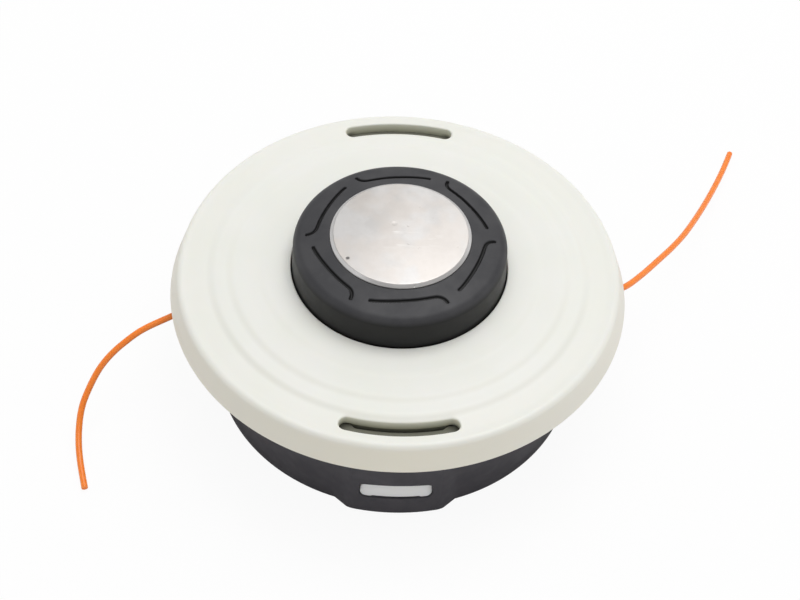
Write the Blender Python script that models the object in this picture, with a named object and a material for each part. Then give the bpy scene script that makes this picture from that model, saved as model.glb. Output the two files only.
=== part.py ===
"""Bump-feed trimmer head with two nylon lines, standing on its shaft side with the knob up.

Metres, +Z up along the head's axis. The origin is the middle of the shaft-side seat.
The catches lie on Y and the line outlets near X.
"""
import math

import bmesh
import bpy
from mathutils import Matrix, Vector

MM = 0.001
SEAT_GAP = 0.3 * MM           # left between two pieces that touch on the real head
ROUND_SIDES = 48              # facets round the large turned pieces
SMALL_SIDES = 20              # facets round washers and bores
WINDING_SIDES = 24
SLEEVE_SIDES = 16
ARC_STEPS = 7                 # odd, so that no arc has a point on the plane that it mirrors in
FINE_EDGE = 1.0 * MM          # smaller edge roundings are drawn as one chamfer

# housing: a tapered cup, open upwards
HOUSING_MOUTH_RADIUS = 59.5 * MM
HOUSING_TAPER = 2.9 * MM      # how much narrower the foot is than the mouth
HOUSING_HEIGHT = 42.0 * MM
HOUSING_WALL = 2.5 * MM
HOUSING_FLOOR_BOTTOM = 5.0 * MM
HOUSING_FLOOR = 2.5 * MM
HUB_RADIUS = 17.0 * MM
HUB_SEAT = 4.0 * MM           # material between the gearbox flange and the nut
RIB_COUNT = 8
RIB_THICKNESS = 2.0 * MM
RIB_SETBACK = 0.8 * MM        # ribs stop this far above the seat plane
COLLAR_WALL = 4.2 * MM
COLLAR_CLEARANCE = 0.9 * MM   # below the spool's web when the knob is pressed in

# catch lugs on the housing and the windows that the cover's hooks fill
LUG_RISE = 1.1 * MM           # lug face outside the housing's mouth
LUG_FACE_HALF_ANGLE = 12.7
LUG_BASE_HALF_ANGLE = 21.0
LUG_BOTTOM = 2.2 * MM
LUG_WALL = 2.1 * MM
WINDOW_HALF_ANGLE = 10.2
WINDOW_BOTTOM = 10.8 * MM
WINDOW_HEIGHT = 5.8 * MM
WINDOW_CORNER = 2.2 * MM

# threaded nut in the hub
NUT_FLATS = 19.0 * MM
NUT_HEIGHT = 10.0 * MM
NUT_BORE_RADIUS = 5.2 * MM
SHAFT_HOLE_RADIUS = 6.5 * MM

# bump spring and its two washers
SPRING_RADIUS = 10.8 * MM     # to the middle of the wire
SPRING_WIRE = 1.8 * MM
SPRING_TURNS = 5.5
SEAT_WASHER_THICKNESS = 1.0 * MM
THRUST_WASHER_THICKNESS = 1.3 * MM
BUMP_TRAVEL = 6.0 * MM        # until the spool's teeth reach the housing's floor

# ratchet: twelve teeth in each ring
TOOTH_COUNT = 12
TOOTH_ANGLE = 6.5
TOOTH_ENGAGEMENT = 2.4 * MM   # cover teeth in spool teeth at rest
FLOOR_TOOTH_HEIGHT = 3.2 * MM
TOOTH_LENGTH = 6.0 * MM       # along the radius
COVER_TOOTH_INSET = 2.9 * MM  # from the cover's hole
FLOOR_TOOTH_INSET = 1.0 * MM  # from the spool's tube

# spool and its winding
SPOOL_CLEARANCE = 2.3 * MM    # flanges inside the cover's spigot
SPOOL_FLANGE = 2.0 * MM
SPOOL_TUBE_WALL = 2.6 * MM
SPOOL_WEB = 3.0 * MM
SPOOL_SLIDE = 0.5 * MM        # spool bore round the housing collar
NOTCH_WIDTH = 2.4 * MM
NOTCH_DEPTH = 5.0 * MM
LINE_DIAMETER = 2.0 * MM
WINDING_INSET = 6.0 * MM      # winding inside the flanges' rim

# cover: a stepped disc with a sloping skirt
COVER_OVERHANG = 10.5 * MM    # rim outside the housing's mouth
COVER_SKIRT_DEPTH = 4.5 * MM  # rim below the housing's mouth
COVER_RISE = 4.7 * MM         # face above the housing's mouth
COVER_HOLE_GAP = 0.35 * MM
COVER_STEP_PLACES = (0.366, 0.717, 0.944)   # on the way from the hole to the slots
COVER_STEP_DROPS = (0.2 * MM, 0.45 * MM, 0.55 * MM)
COVER_STEP_WIDTH = 2.8 * MM
COVER_FALL = 0.02             # slope of the face between its steps
COVER_RIM_DROP = 3.1 * MM     # from the middle of the disc to the rim's shoulder
COVER_RIM_FILLET = 3.0 * MM
COVER_SKIRT_SLOPE = 1.8 * MM
COVER_SKIRT_WALL = 2.4 * MM
COVER_PLATE = 3.6 * MM
COVER_SPIGOT_GAP = 0.5 * MM   # inside the housing's mouth
COVER_SPIGOT_WALL = 2.2 * MM
COVER_SPIGOT_DEPTH = 4.2 * MM
SLOT_MARGIN = 0.2 * MM        # slot's inner edge outside the tab
SLOT_WIDTH = 4.4 * MM
SLOT_HALF_ANGLE = 14.3        # to the centre of each round end
SHELF_DEPTH = 3.5 * MM        # lip across the slot, below the cover's face
SHELF_THICKNESS = 1.6 * MM
SHELF_HALF_ANGLE = 15.4
SHELF_CORNER = 1.2 * MM
SHELF_STANDOFF = 0.75 * MM    # light gap between the tab and the lip
TAB_HALF_ANGLE = 14.0
TAB_THICKNESS = 2.0 * MM
TAB_PLAY = 0.5 * MM           # to the outer side of its pocket
TAB_TAIL = 1.6 * MM           # below the window
HOOK_SETBACK = 0.4 * MM       # hook face inside the lug face
HOOK_LEAN = 0.15              # slope of the hook face, inwards as it rises

# knob ring and steel wear disc
KNOB_RADIUS = 32.75 * MM
KNOB_DRAFT = 0.6 * MM
KNOB_RISE = 12.6 * MM         # rim of the disc's seat above the cover's face
KNOB_SLOPE = 0.19
KNOB_FILLET = 3.2 * MM
KNOB_WALL = 2.6 * MM
KNOB_BOSS_RADIUS = 10.0 * MM
DISC_RADIUS = 21.15 * MM
DISC_PROUD = 1.0 * MM         # disc's edge above the rim of its seat
DISC_CROWN = 0.8 * MM
DISC_THICKNESS = 3.0 * MM
DISC_EDGE_ROUND = 0.9 * MM
STUD_RADIUS = 4.0 * MM
STUD_PROUD = 1.3 * MM         # stud beyond its nut
KNOB_NUT_FLATS = 13.0 * MM
KNOB_NUT_HEIGHT = 6.5 * MM
KNOB_WASHER_RADIUS = 8.2 * MM
KNOB_WASHER_THICKNESS = 1.5 * MM

# six hooked grooves in the knob's top face
GROOVE_COUNT = 6
GROOVE_RADIUS = 0.6 * MM
GROOVE_START_ANGLE = -109.7
GROOVE_PATH = (               # angle from the plain end, radius
    (0.0, 26.2 * MM),
    (11.0, 25.3 * MM),
    (22.0, 24.8 * MM),
    (33.0, 24.8 * MM),
    (42.0, 25.1 * MM),
    (45.5, 25.6 * MM),
    (47.6, 26.6 * MM),
    (48.5, 27.9 * MM),
)

# line outlets
OUTLET_ANGLE = 3.0
OUTLET_DROP = 8.1 * MM        # below the spool's upper flange
SLEEVE_BORE_RADIUS = 2.3 * MM
SLEEVE_RADIUS = 3.4 * MM
SLEEVE_FLANGE_RADIUS = 5.2 * MM
SLEEVE_FLANGE = 1.2 * MM
SLEEVE_STANDOFF = 0.8 * MM    # tube proud of the wall's inner face

# routes of the two lines, in millimetres, from the winding to the cut end
LINE_ROUTE_RIGHT = (
    (44.3, -17.0, 30.3), (46.0, -12.2, 30.3), (48.4, -6.8, 30.3), (51.8, -1.3, 30.3),
    (56.2, 2.0, 30.3), (61.0, 4.0, 30.3), (66.2, 5.7, 30.0), (71.5, 7.9, 29.2),
    (77.8, 15.0, 26.9), (84.4, 23.9, 24.0), (90.6, 32.8, 20.8), (96.2, 42.0, 17.3),
    (101.6, 52.4, 13.4), (106.0, 61.4, 10.1), (110.7, 71.5, 6.8), (114.8, 80.6, 4.3),
    (118.5, 89.2, 2.5), (121.8, 97.4, 1.2),
)
LINE_ROUTE_LEFT = (
    (-44.3, 17.0, 30.3), (-46.0, 12.2, 30.3), (-48.4, 6.8, 30.3), (-51.8, 1.3, 30.3),
    (-56.2, -2.0, 30.3), (-61.0, -4.1, 30.3), (-65.4, -5.9, 29.9), (-69.1, -7.4, 28.9),
    (-77.8, -10.7, 26.2), (-83.6, -13.7, 23.2), (-88.3, -16.6, 19.8), (-91.8, -19.8, 16.2),
    (-94.8, -24.5, 12.0), (-96.4, -28.6, 8.9), (-96.9, -33.7, 5.9), (-96.5, -39.3, 3.7),
    (-95.3, -45.3, 2.2), (-93.4, -52.5, 1.2),
)
LINE_POINT_SPACING = 2.2      # line diameters between the points of the drawn curve

# heights and radii that follow from the sizes above
HOUSING_FOOT_RADIUS = HOUSING_MOUTH_RADIUS - HOUSING_TAPER
FLOOR_TOP = HOUSING_FLOOR_BOTTOM + HOUSING_FLOOR
LUG_FACE_RADIUS = HOUSING_MOUTH_RADIUS + LUG_RISE
POCKET_OUTER = LUG_FACE_RADIUS - LUG_WALL
POCKET_INNER = HOUSING_FOOT_RADIUS - 2 * HOUSING_WALL
TAB_OUTER = POCKET_OUTER - TAB_PLAY
SLOT_INNER_RADIUS = TAB_OUTER + SLOT_MARGIN
COVER_RADIUS = HOUSING_MOUTH_RADIUS + COVER_OVERHANG
COVER_BOTTOM = HOUSING_HEIGHT - COVER_SKIRT_DEPTH
COVER_TOP = HOUSING_HEIGHT + SEAT_GAP + COVER_RISE
COVER_HOLE = KNOB_RADIUS + COVER_HOLE_GAP
SPIGOT_OUTER = HOUSING_MOUTH_RADIUS - HOUSING_WALL - COVER_SPIGOT_GAP
SPIGOT_INNER = SPIGOT_OUTER - COVER_SPIGOT_WALL
SPOOL_FLANGE_RADIUS = SPIGOT_INNER - SPOOL_CLEARANCE
WINDING_RADIUS = SPOOL_FLANGE_RADIUS - WINDING_INSET
COLLAR_BORE = SPRING_RADIUS + SPRING_WIRE / 2 + 1.0 * MM
COLLAR_RADIUS = COLLAR_BORE + COLLAR_WALL
NUT_POCKET_TOP = HUB_SEAT + SEAT_GAP + NUT_HEIGHT + SEAT_GAP
SEAT_WASHER_BOTTOM = NUT_POCKET_TOP + SEAT_GAP
SPRING_BOTTOM = SEAT_WASHER_BOTTOM + SEAT_WASHER_THICKNESS + SEAT_GAP
COVER_UNDERSIDE = COVER_TOP - COVER_PLATE
COVER_TOOTH_BOTTOM = COVER_UNDERSIDE - SEAT_GAP - TOOTH_ENGAGEMENT
SPOOL_TOP = COVER_TOOTH_BOTTOM - SEAT_GAP
SPOOL_BOTTOM = FLOOR_TOP + SEAT_GAP + BUMP_TRAVEL + FLOOR_TOOTH_HEIGHT
WEB_BOTTOM = SPOOL_TOP - SPOOL_WEB
COLLAR_TOP = WEB_BOTTOM - BUMP_TRAVEL - COLLAR_CLEARANCE
OUTLET_HEIGHT = SPOOL_TOP - SPOOL_FLANGE - OUTLET_DROP
SPRING_TOP = WEB_BOTTOM - SEAT_GAP - THRUST_WASHER_THICKNESS - SEAT_GAP
SPOOL_BORE = COLLAR_RADIUS + SPOOL_SLIDE
SPOOL_TUBE_RADIUS = SPOOL_BORE + SPOOL_TUBE_WALL
COVER_TEETH = (COVER_HOLE + COVER_TOOTH_INSET, COVER_HOLE + COVER_TOOTH_INSET + TOOTH_LENGTH)
FLOOR_TEETH = (
    SPOOL_TUBE_RADIUS + FLOOR_TOOTH_INSET,
    SPOOL_TUBE_RADIUS + FLOOR_TOOTH_INSET + TOOTH_LENGTH,
)
HOUSING_LEDGE = HOUSING_HEIGHT + SEAT_GAP          # underside of the cover over the wall
KNOB_BOTTOM = SPOOL_TOP + SEAT_GAP
KNOB_TOP = COVER_TOP + KNOB_RISE
DISC_EDGE = KNOB_TOP + DISC_PROUD
DISC_SEAT = DISC_EDGE - DISC_THICKNESS - SEAT_GAP
STUD_BORE = STUD_RADIUS + SEAT_GAP
KNOB_NUT_TOP = WEB_BOTTOM - SEAT_GAP - KNOB_WASHER_THICKNESS - SEAT_GAP
STUD_END = KNOB_NUT_TOP - KNOB_NUT_HEIGHT - STUD_PROUD
COVER_STEPS = [COVER_HOLE + place * (SLOT_INNER_RADIUS - COVER_HOLE) for place in COVER_STEP_PLACES]


def wall_outer_radius(height):
    """Outer radius of the housing's tapered wall at a height."""
    share = height / HOUSING_HEIGHT
    return HOUSING_FOOT_RADIUS + share * (HOUSING_MOUTH_RADIUS - HOUSING_FOOT_RADIUS)


def cover_face_height(radius):
    """Height of the cover's stepped and gently falling face."""
    height = COVER_TOP - COVER_FALL * (radius - COVER_HOLE)
    for step_radius, drop in zip(COVER_STEPS, COVER_STEP_DROPS):
        if radius > step_radius:
            height -= drop
    return height


SHELF_TOP = cover_face_height(SLOT_INNER_RADIUS) - SHELF_DEPTH


def clear_scene():
    for item in list(bpy.data.objects):
        bpy.data.objects.remove(item, do_unlink=True)


def make_material(name, colour, roughness, metallic=0.0):
    material = bpy.data.materials.new(name)
    material.use_nodes = True
    shader = material.node_tree.nodes["Principled BSDF"]
    shader.inputs["Base Color"].default_value = (*colour, 1.0)
    shader.inputs["Roughness"].default_value = roughness
    shader.inputs["Metallic"].default_value = metallic
    material.diffuse_color = (*colour, 1.0)
    return material


def polar(radius, degrees, height=0.0):
    angle = math.radians(degrees)
    return Vector((radius * math.cos(angle), radius * math.sin(angle), height))


def rounded(corners, steps=3):
    """Points of an outline whose corners are (r, z) or (r, z, fillet radius)."""
    points = []
    count = len(corners)
    for index, corner in enumerate(corners):
        here = Vector(corner[:2])
        fillet = corner[2] if len(corner) > 2 else 0.0
        if fillet <= 0.0:
            points.append(here)
            continue
        before = (Vector(corners[index - 1][:2]) - here).normalized()
        after = (Vector(corners[(index + 1) % count][:2]) - here).normalized()
        half_angle = before.angle(after) / 2
        reach = fillet / math.tan(half_angle)
        centre = here + (before + after).normalized() * fillet / math.sin(half_angle)
        first = here + before * reach - centre
        last = here + after * reach - centre
        facets = steps if fillet >= FINE_EDGE else 1
        for step in range(facets + 1):
            blend = first.lerp(last, step / facets).normalized()
            points.append(centre + blend * fillet)
    return points


def finish_mesh(name, mesh_builder, smooth_angle):
    bmesh.ops.recalc_face_normals(mesh_builder, faces=mesh_builder.faces)
    mesh = bpy.data.meshes.new(name)
    mesh_builder.to_mesh(mesh)
    mesh_builder.free()
    if smooth_angle:
        mesh.shade_smooth()
        mesh.set_sharp_from_angle(angle=math.radians(smooth_angle))
    return mesh


def place(name, mesh, material=None, parent=None, location=(0.0, 0.0, 0.0)):
    thing = bpy.data.objects.new(name, mesh)
    bpy.context.scene.collection.objects.link(thing)
    if material:
        mesh.materials.append(material)
    thing.location = location
    thing.parent = parent
    return thing


def add_ring_faces(builder, lower, upper):
    """Join two rings, either of which may be a single point on the axis."""
    count = max(len(lower), len(upper))
    for index in range(count):
        following = (index + 1) % count
        corners = [lower[index % len(lower)], lower[following % len(lower)]]
        corners += [upper[following % len(upper)], upper[index % len(upper)]]
        unique = list(dict.fromkeys(corners))
        builder.faces.new(unique)


def revolve(name, outline, sides=ROUND_SIDES, smooth_angle=35):
    """Turn an outline of (r, z) points round Z.

    An outline that starts and ends on the axis is left open there; any other is closed.
    """
    builder = bmesh.new()
    rings = []
    for radius, height in outline:
        if radius < 1e-9:
            rings.append([builder.verts.new((0.0, 0.0, height))])
            continue
        ring = []
        for side in range(sides):
            ring.append(builder.verts.new(polar(radius, 360.0 * side / sides, height)))
        rings.append(ring)
    for lower, upper in zip(rings, rings[1:]):
        add_ring_faces(builder, lower, upper)
    if len(rings[0]) > 1:
        add_ring_faces(builder, rings[-1], rings[0])
    return finish_mesh(name, builder, smooth_angle)


def add_loft(builder, sections):
    """Add a solid through closed sections that have the same number of points."""
    rings = []
    for section in sections:
        rings.append([builder.verts.new(point) for point in section])
    for lower, upper in zip(rings, rings[1:]):
        add_ring_faces(builder, lower, upper)
    builder.faces.new(rings[0])
    builder.faces.new(rings[-1])


def spread(centre_angle, half_angle, steps=ARC_STEPS):
    """Even angles from one end of an arc to the other."""
    return [centre_angle + half_angle * (2 * step / steps - 1) for step in range(steps + 1)]


def arc_band(inner, outer, centre_angle, half_angle, height, steps):
    """Plan of a ring's sector, as points at one height."""
    points = [polar(outer, angle, height) for angle in spread(centre_angle, half_angle, steps)]
    points += [polar(inner, angle, height) for angle in spread(centre_angle, -half_angle, steps)]
    return points


def add_sector(builder, inner, outer, bottom, top, centre_angle, half_angle, steps=ARC_STEPS):
    heights = (bottom, top)
    add_loft(builder, [arc_band(inner, outer, centre_angle, half_angle, z, steps) for z in heights])


def add_tooth_ring(builder, radii, bottom, top, first_angle):
    for tooth in range(TOOTH_COUNT):
        angle = first_angle + 360.0 * tooth / TOOTH_COUNT
        add_sector(builder, radii[0], radii[1], bottom, top, angle, TOOTH_ANGLE / 2, steps=1)


def add_prism(builder, plan, bottom, top):
    add_loft(builder, [[Vector((x, y, z)) for x, y in plan] for z in (bottom, top)])


def hexagon(flats):
    corner = flats / 2 / math.cos(math.radians(30))
    return [polar(corner, 60.0 * side).xy for side in range(6)]


def add_tube(builder, path, radius, sides):
    """Sweep a round section along a path of points and close both ends."""
    sections = []
    for index, point in enumerate(path):
        ahead = path[min(index + 1, len(path) - 1)] - path[max(index - 1, 0)]
        side = ahead.cross(Vector((0, 0, 1))).normalized()
        up = side.cross(ahead).normalized()
        section = []
        for step in range(sides):
            turn = math.tau * step / sides
            section.append(point + radius * (math.cos(turn) * side + math.sin(turn) * up))
        sections.append(section)
    add_loft(builder, sections)


def combine(target, operation, name, builder):
    """Join or cut a piece with a hidden helper solid."""
    helper = place(name, finish_mesh(name, builder, 0), parent=target.parent)
    helper.hide_render = True
    helper.display_type = "WIRE"
    modifier = target.modifiers.new(name, "BOOLEAN")
    modifier.operation = operation
    modifier.solver = "EXACT"
    modifier.object = helper


def smooth_curve(route):
    """Points at even steps along a smooth curve through a route."""
    knots = [Vector(point) * MM for point in route]
    ends = [2 * knots[0] - knots[1]] + knots + [2 * knots[-1] - knots[-2]]
    fine = []
    for before, start, end, after in zip(ends, ends[1:], ends[2:], ends[3:]):
        for step in range(20):
            t = step / 20
            swing = (end - before) * t
            bend = (2 * before - 5 * start + 4 * end - after) * t ** 2
            twist = (3 * start - before - 3 * end + after) * t ** 3
            fine.append(start + (swing + bend + twist) / 2)
    fine.append(knots[-1])
    travelled = [0.0]
    for start, end in zip(fine, fine[1:]):
        travelled.append(travelled[-1] + (end - start).length)
    steps = round(travelled[-1] / (LINE_POINT_SPACING * LINE_DIAMETER))
    points = []
    index = 0
    for step in range(steps + 1):
        wanted = travelled[-1] * step / steps
        while index < len(fine) - 2 and travelled[index + 1] < wanted:
            index += 1
        share = (wanted - travelled[index]) / (travelled[index + 1] - travelled[index])
        points.append(fine[index].lerp(fine[index + 1], share))
    return points


def build_housing(material):
    collar_inner = COLLAR_BORE
    foot_inner = HOUSING_FOOT_RADIUS - HOUSING_WALL
    outline = rounded((
        (foot_inner, 0.0),
        (HOUSING_FOOT_RADIUS, 0.0, 1.0 * MM),
        (HOUSING_MOUTH_RADIUS, HOUSING_HEIGHT),
        (HOUSING_MOUTH_RADIUS - HOUSING_WALL, HOUSING_HEIGHT),
        (wall_outer_radius(FLOOR_TOP) - HOUSING_WALL, FLOOR_TOP, 1.5 * MM),
        (COLLAR_RADIUS, FLOOR_TOP),
        (COLLAR_RADIUS, COLLAR_TOP, 0.8 * MM),
        (collar_inner, COLLAR_TOP),
        (collar_inner, NUT_POCKET_TOP),
        (SHAFT_HOLE_RADIUS, NUT_POCKET_TOP),
        (SHAFT_HOLE_RADIUS, 0.0),
        (HUB_RADIUS, 0.0, 0.6 * MM),
        (HUB_RADIUS, HOUSING_FLOOR_BOTTOM),
        (foot_inner, HOUSING_FLOOR_BOTTOM),
    ), steps=2)
    housing = place("housing", revolve("housing", outline), material)

    extra = bmesh.new()
    for side in (-90.0, 90.0):
        add_lug(extra, side)
    add_tooth_ring(extra, FLOOR_TEETH, FLOOR_TOP - SEAT_GAP, FLOOR_TOP + FLOOR_TOOTH_HEIGHT, 0.0)
    for rib in range(RIB_COUNT):
        add_rib(extra, 360.0 * (rib + 0.5) / RIB_COUNT)
    combine(housing, "UNION", "housing_lugs_ribs_teeth", extra)

    cuts = bmesh.new()
    pocket_bottom = FLOOR_TOP + 1.0 * MM
    pocket_half = TAB_HALF_ANGLE + math.degrees(SEAT_GAP / SLOT_INNER_RADIUS)
    pocket_top = HOUSING_HEIGHT + 1.0 * MM
    for side in (-90.0, 90.0):
        add_sector(cuts, POCKET_INNER, POCKET_OUTER, pocket_bottom, pocket_top, side, pocket_half)
    combine(housing, "DIFFERENCE", "catch_pockets", cuts)

    holes = bmesh.new()
    relief_bottom = SHELF_TOP - SHELF_THICKNESS - SEAT_GAP
    relief_half = SHELF_HALF_ANGLE + math.degrees(SEAT_GAP / SLOT_INNER_RADIUS)
    relief_outer = LUG_FACE_RADIUS + 1.0 * MM
    window_radii = (POCKET_OUTER - 1.5 * MM, LUG_FACE_RADIUS + 1.5 * MM)
    window_top = WINDOW_BOTTOM + WINDOW_HEIGHT
    for side in (-90.0, 90.0):
        add_window(
            holes, side, WINDOW_HALF_ANGLE, WINDOW_BOTTOM, window_top, window_radii, WINDOW_CORNER,
        )
        add_sector(holes, POCKET_INNER, relief_outer, relief_bottom, pocket_top, side, relief_half)
    for side in (0.0, 180.0):
        add_outlet_hole(holes, side + OUTLET_ANGLE)
    pocket = hexagon(NUT_FLATS + 2 * SEAT_GAP)
    add_prism(holes, pocket, HUB_SEAT, NUT_POCKET_TOP + SEAT_GAP)
    combine(housing, "DIFFERENCE", "windows_outlets_nut_pocket", holes)
    return housing


def add_lug(builder, side):
    """A boss on the wall with an arc face and slanting flanks, which the taper cuts back."""
    root_depth = 0.15 * MM
    chamfer = 0.8 * MM
    full_rise = LUG_FACE_RADIUS - HOUSING_FOOT_RADIUS + root_depth
    levels = (
        (LUG_BOTTOM, LUG_FACE_RADIUS - chamfer),
        (LUG_BOTTOM + chamfer, LUG_FACE_RADIUS),
        (HOUSING_HEIGHT, LUG_FACE_RADIUS),
    )
    sections = []
    for height, face_radius in levels:
        root_radius = wall_outer_radius(height) - root_depth
        share = (LUG_FACE_RADIUS - root_radius) / full_rise
        root_angle = LUG_FACE_HALF_ANGLE + share * (LUG_BASE_HALF_ANGLE - LUG_FACE_HALF_ANGLE)
        section = [polar(face_radius, angle, height) for angle in spread(side, LUG_FACE_HALF_ANGLE)]
        section += [polar(root_radius, angle, height) for angle in spread(side, -root_angle)]
        sections.append(section)
    add_loft(builder, sections)


def add_rib(builder, angle):
    inner = HUB_RADIUS - 0.8 * MM
    outer = HOUSING_FOOT_RADIUS - HOUSING_WALL + 0.8 * MM
    half = RIB_THICKNESS / 2
    turn = Matrix.Rotation(math.radians(angle), 2)
    corners = ((inner, -half), (outer, -half), (outer, half), (inner, half))
    plan = [turn @ Vector(corner) for corner in corners]
    add_prism(builder, plan, RIB_SETBACK, HOUSING_FLOOR_BOTTOM + 0.8 * MM)


def add_window(builder, side, half_angle, bottom, top, radii, corner, lean=0.0):
    """A round-cornered opening, or the hook that fills it, lofted outwards along the radius."""
    half_width = math.radians(half_angle) * LUG_FACE_RADIUS
    outline = rounded((
        (-half_width, bottom, corner),
        (half_width, bottom, corner),
        (half_width, top, corner),
        (-half_width, top, corner),
    ), steps=3)
    spaced = []
    for start, end in zip(outline, outline[1:] + outline[:1]):
        pieces = 5 if (end - start).length > half_width else 1
        for piece in range(pieces):
            spaced.append(start.lerp(end, piece / pieces))
    sections = []
    for radius in radii:
        section = []
        for along, height in spaced:
            angle = side + math.degrees(along / LUG_FACE_RADIUS)
            section.append(polar(radius - lean * (height - bottom), angle, height))
        sections.append(section)
    add_loft(builder, sections)


def add_outlet_hole(builder, angle):
    radius = SLEEVE_RADIUS + SEAT_GAP
    path = [polar(HOUSING_FOOT_RADIUS - 8 * MM, angle, OUTLET_HEIGHT)]
    path.append(polar(HOUSING_MOUTH_RADIUS + 8 * MM, angle, OUTLET_HEIGHT))
    add_tube(builder, path, radius, SLEEVE_SIDES)


def build_cover(material):
    rim_shoulder = COVER_TOP - COVER_RIM_DROP
    corners = [(COVER_HOLE, COVER_TOP, 0.3 * MM)]
    for step_radius in COVER_STEPS:
        for radius in (step_radius - COVER_STEP_WIDTH / 2, step_radius + COVER_STEP_WIDTH / 2):
            corners.append((radius, cover_face_height(radius)))
    slot_outer = SLOT_INNER_RADIUS + SLOT_WIDTH
    corners.append((slot_outer, cover_face_height(slot_outer)))
    flank_top = COVER_RADIUS - COVER_SKIRT_SLOPE
    corners.append((flank_top, rim_shoulder, COVER_RIM_FILLET))
    corners.append((COVER_RADIUS, COVER_BOTTOM, 0.4 * MM))
    spigot_bottom = HOUSING_LEDGE - COVER_SPIGOT_DEPTH
    skirt_inner_top = flank_top - COVER_SKIRT_WALL
    corners += [
        (COVER_RADIUS - COVER_SKIRT_WALL, COVER_BOTTOM),
        (skirt_inner_top, HOUSING_LEDGE - 1.4 * MM),
        (skirt_inner_top - COVER_RIM_FILLET, HOUSING_LEDGE),
        (SPIGOT_OUTER, HOUSING_LEDGE),
        (SPIGOT_OUTER, spigot_bottom, 0.4 * MM),
        (SPIGOT_INNER, spigot_bottom),
        (SPIGOT_INNER, COVER_UNDERSIDE),
        (COVER_HOLE, COVER_UNDERSIDE),
    ]
    cover = place("cover", revolve("cover", rounded(corners, steps=3)), material)

    extra = bmesh.new()
    tab_inner = TAB_OUTER - TAB_THICKNESS
    tab_bottom = WINDOW_BOTTOM - TAB_TAIL
    tab_top = HOUSING_LEDGE + SEAT_GAP
    for side in (-90.0, 90.0):
        add_sector(extra, tab_inner, TAB_OUTER, tab_bottom, tab_top, side, TAB_HALF_ANGLE)
    teeth_top = COVER_UNDERSIDE + SEAT_GAP
    add_tooth_ring(extra, COVER_TEETH, COVER_TOOTH_BOTTOM, teeth_top, 0.0)
    combine(cover, "UNION", "cover_tabs_teeth", extra)

    hooks = bmesh.new()
    for side in (-90.0, 90.0):
        add_window(
            hooks, side,
            WINDOW_HALF_ANGLE - math.degrees(SEAT_GAP / LUG_FACE_RADIUS),
            WINDOW_BOTTOM + SEAT_GAP,
            WINDOW_BOTTOM + WINDOW_HEIGHT - SEAT_GAP,
            (TAB_OUTER - TAB_THICKNESS / 4, LUG_FACE_RADIUS - HOOK_SETBACK),
            WINDOW_CORNER - SEAT_GAP,
            HOOK_LEAN,
        )
    combine(cover, "UNION", "cover_hooks", hooks)

    slots = bmesh.new()
    for side in (-90.0, 90.0):
        add_slot(slots, side)
    combine(cover, "DIFFERENCE", "cover_slots", slots)

    shelves = bmesh.new()
    for side in (-90.0, 90.0):
        add_shelf(shelves, side, TAB_OUTER + SHELF_STANDOFF, skirt_inner_top - 0.8 * MM)
    combine(cover, "UNION", "cover_shelves", shelves)
    return cover


def add_shelf(builder, side, inner, outer):
    """A lip across the slot that grows from the skirt, its two free corners cut off."""
    reach = SHELF_HALF_ANGLE - math.degrees(SHELF_CORNER / inner)
    plan = [polar(outer, angle).xy for angle in spread(side, SHELF_HALF_ANGLE)]
    plan.append(polar(inner + SHELF_CORNER, side + SHELF_HALF_ANGLE).xy)
    plan += [polar(inner, angle).xy for angle in spread(side, -reach)]
    plan.append(polar(inner + SHELF_CORNER, side - SHELF_HALF_ANGLE).xy)
    add_prism(builder, plan, SHELF_TOP - SHELF_THICKNESS, SHELF_TOP)


def add_slot(builder, side):
    """An arc slot with round ends, through the disc."""
    middle = SLOT_INNER_RADIUS + SLOT_WIDTH / 2
    outer = middle + SLOT_WIDTH / 2
    inner = middle - SLOT_WIDTH / 2
    points = [polar(outer, angle).xy for angle in spread(side, SLOT_HALF_ANGLE)]
    points += slot_end(middle, side + SLOT_HALF_ANGLE, 1)
    points += [polar(inner, angle).xy for angle in spread(side, -SLOT_HALF_ANGLE)]
    points += slot_end(middle, side - SLOT_HALF_ANGLE, -1)
    add_prism(builder, points, HOUSING_LEDGE - 1.0 * MM, COVER_TOP + 1.0 * MM)


def slot_end(middle, angle, direction):
    """Points round one end of the slot, without the two where the arcs begin."""
    centre = polar(middle, angle).xy
    start = angle if direction > 0 else angle + 180.0
    points = []
    for step in range(1, 6):
        points.append(centre + polar(SLOT_WIDTH / 2, start + 180.0 * step / 6).xy)
    return points


def build_shaft_nut(material):
    builder = bmesh.new()
    bottom = HUB_SEAT + SEAT_GAP
    add_prism(builder, hexagon(NUT_FLATS), bottom, bottom + NUT_HEIGHT)
    nut = place("shaft_nut", finish_mesh("shaft_nut", builder, 0), material)
    bore = bmesh.new()
    ends = (bottom - 1.0 * MM, bottom + NUT_HEIGHT + 1.0 * MM)
    add_loft(bore, [circle(NUT_BORE_RADIUS, z) for z in ends])
    combine(nut, "DIFFERENCE", "shaft_nut_bore", bore)
    return nut


def circle(radius, height):
    return [polar(radius, 360.0 * side / SMALL_SIDES, height) for side in range(SMALL_SIDES)]


def build_washer(name, inner, outer, bottom, thickness, material, parent=None):
    top = bottom + thickness
    edge = 0.2 * MM
    outline = rounded((
        (inner, bottom),
        (outer, bottom, edge),
        (outer, top, edge),
        (inner, top),
    ), steps=1)
    return place(name, revolve(name, outline, SMALL_SIDES), material, parent)


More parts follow.
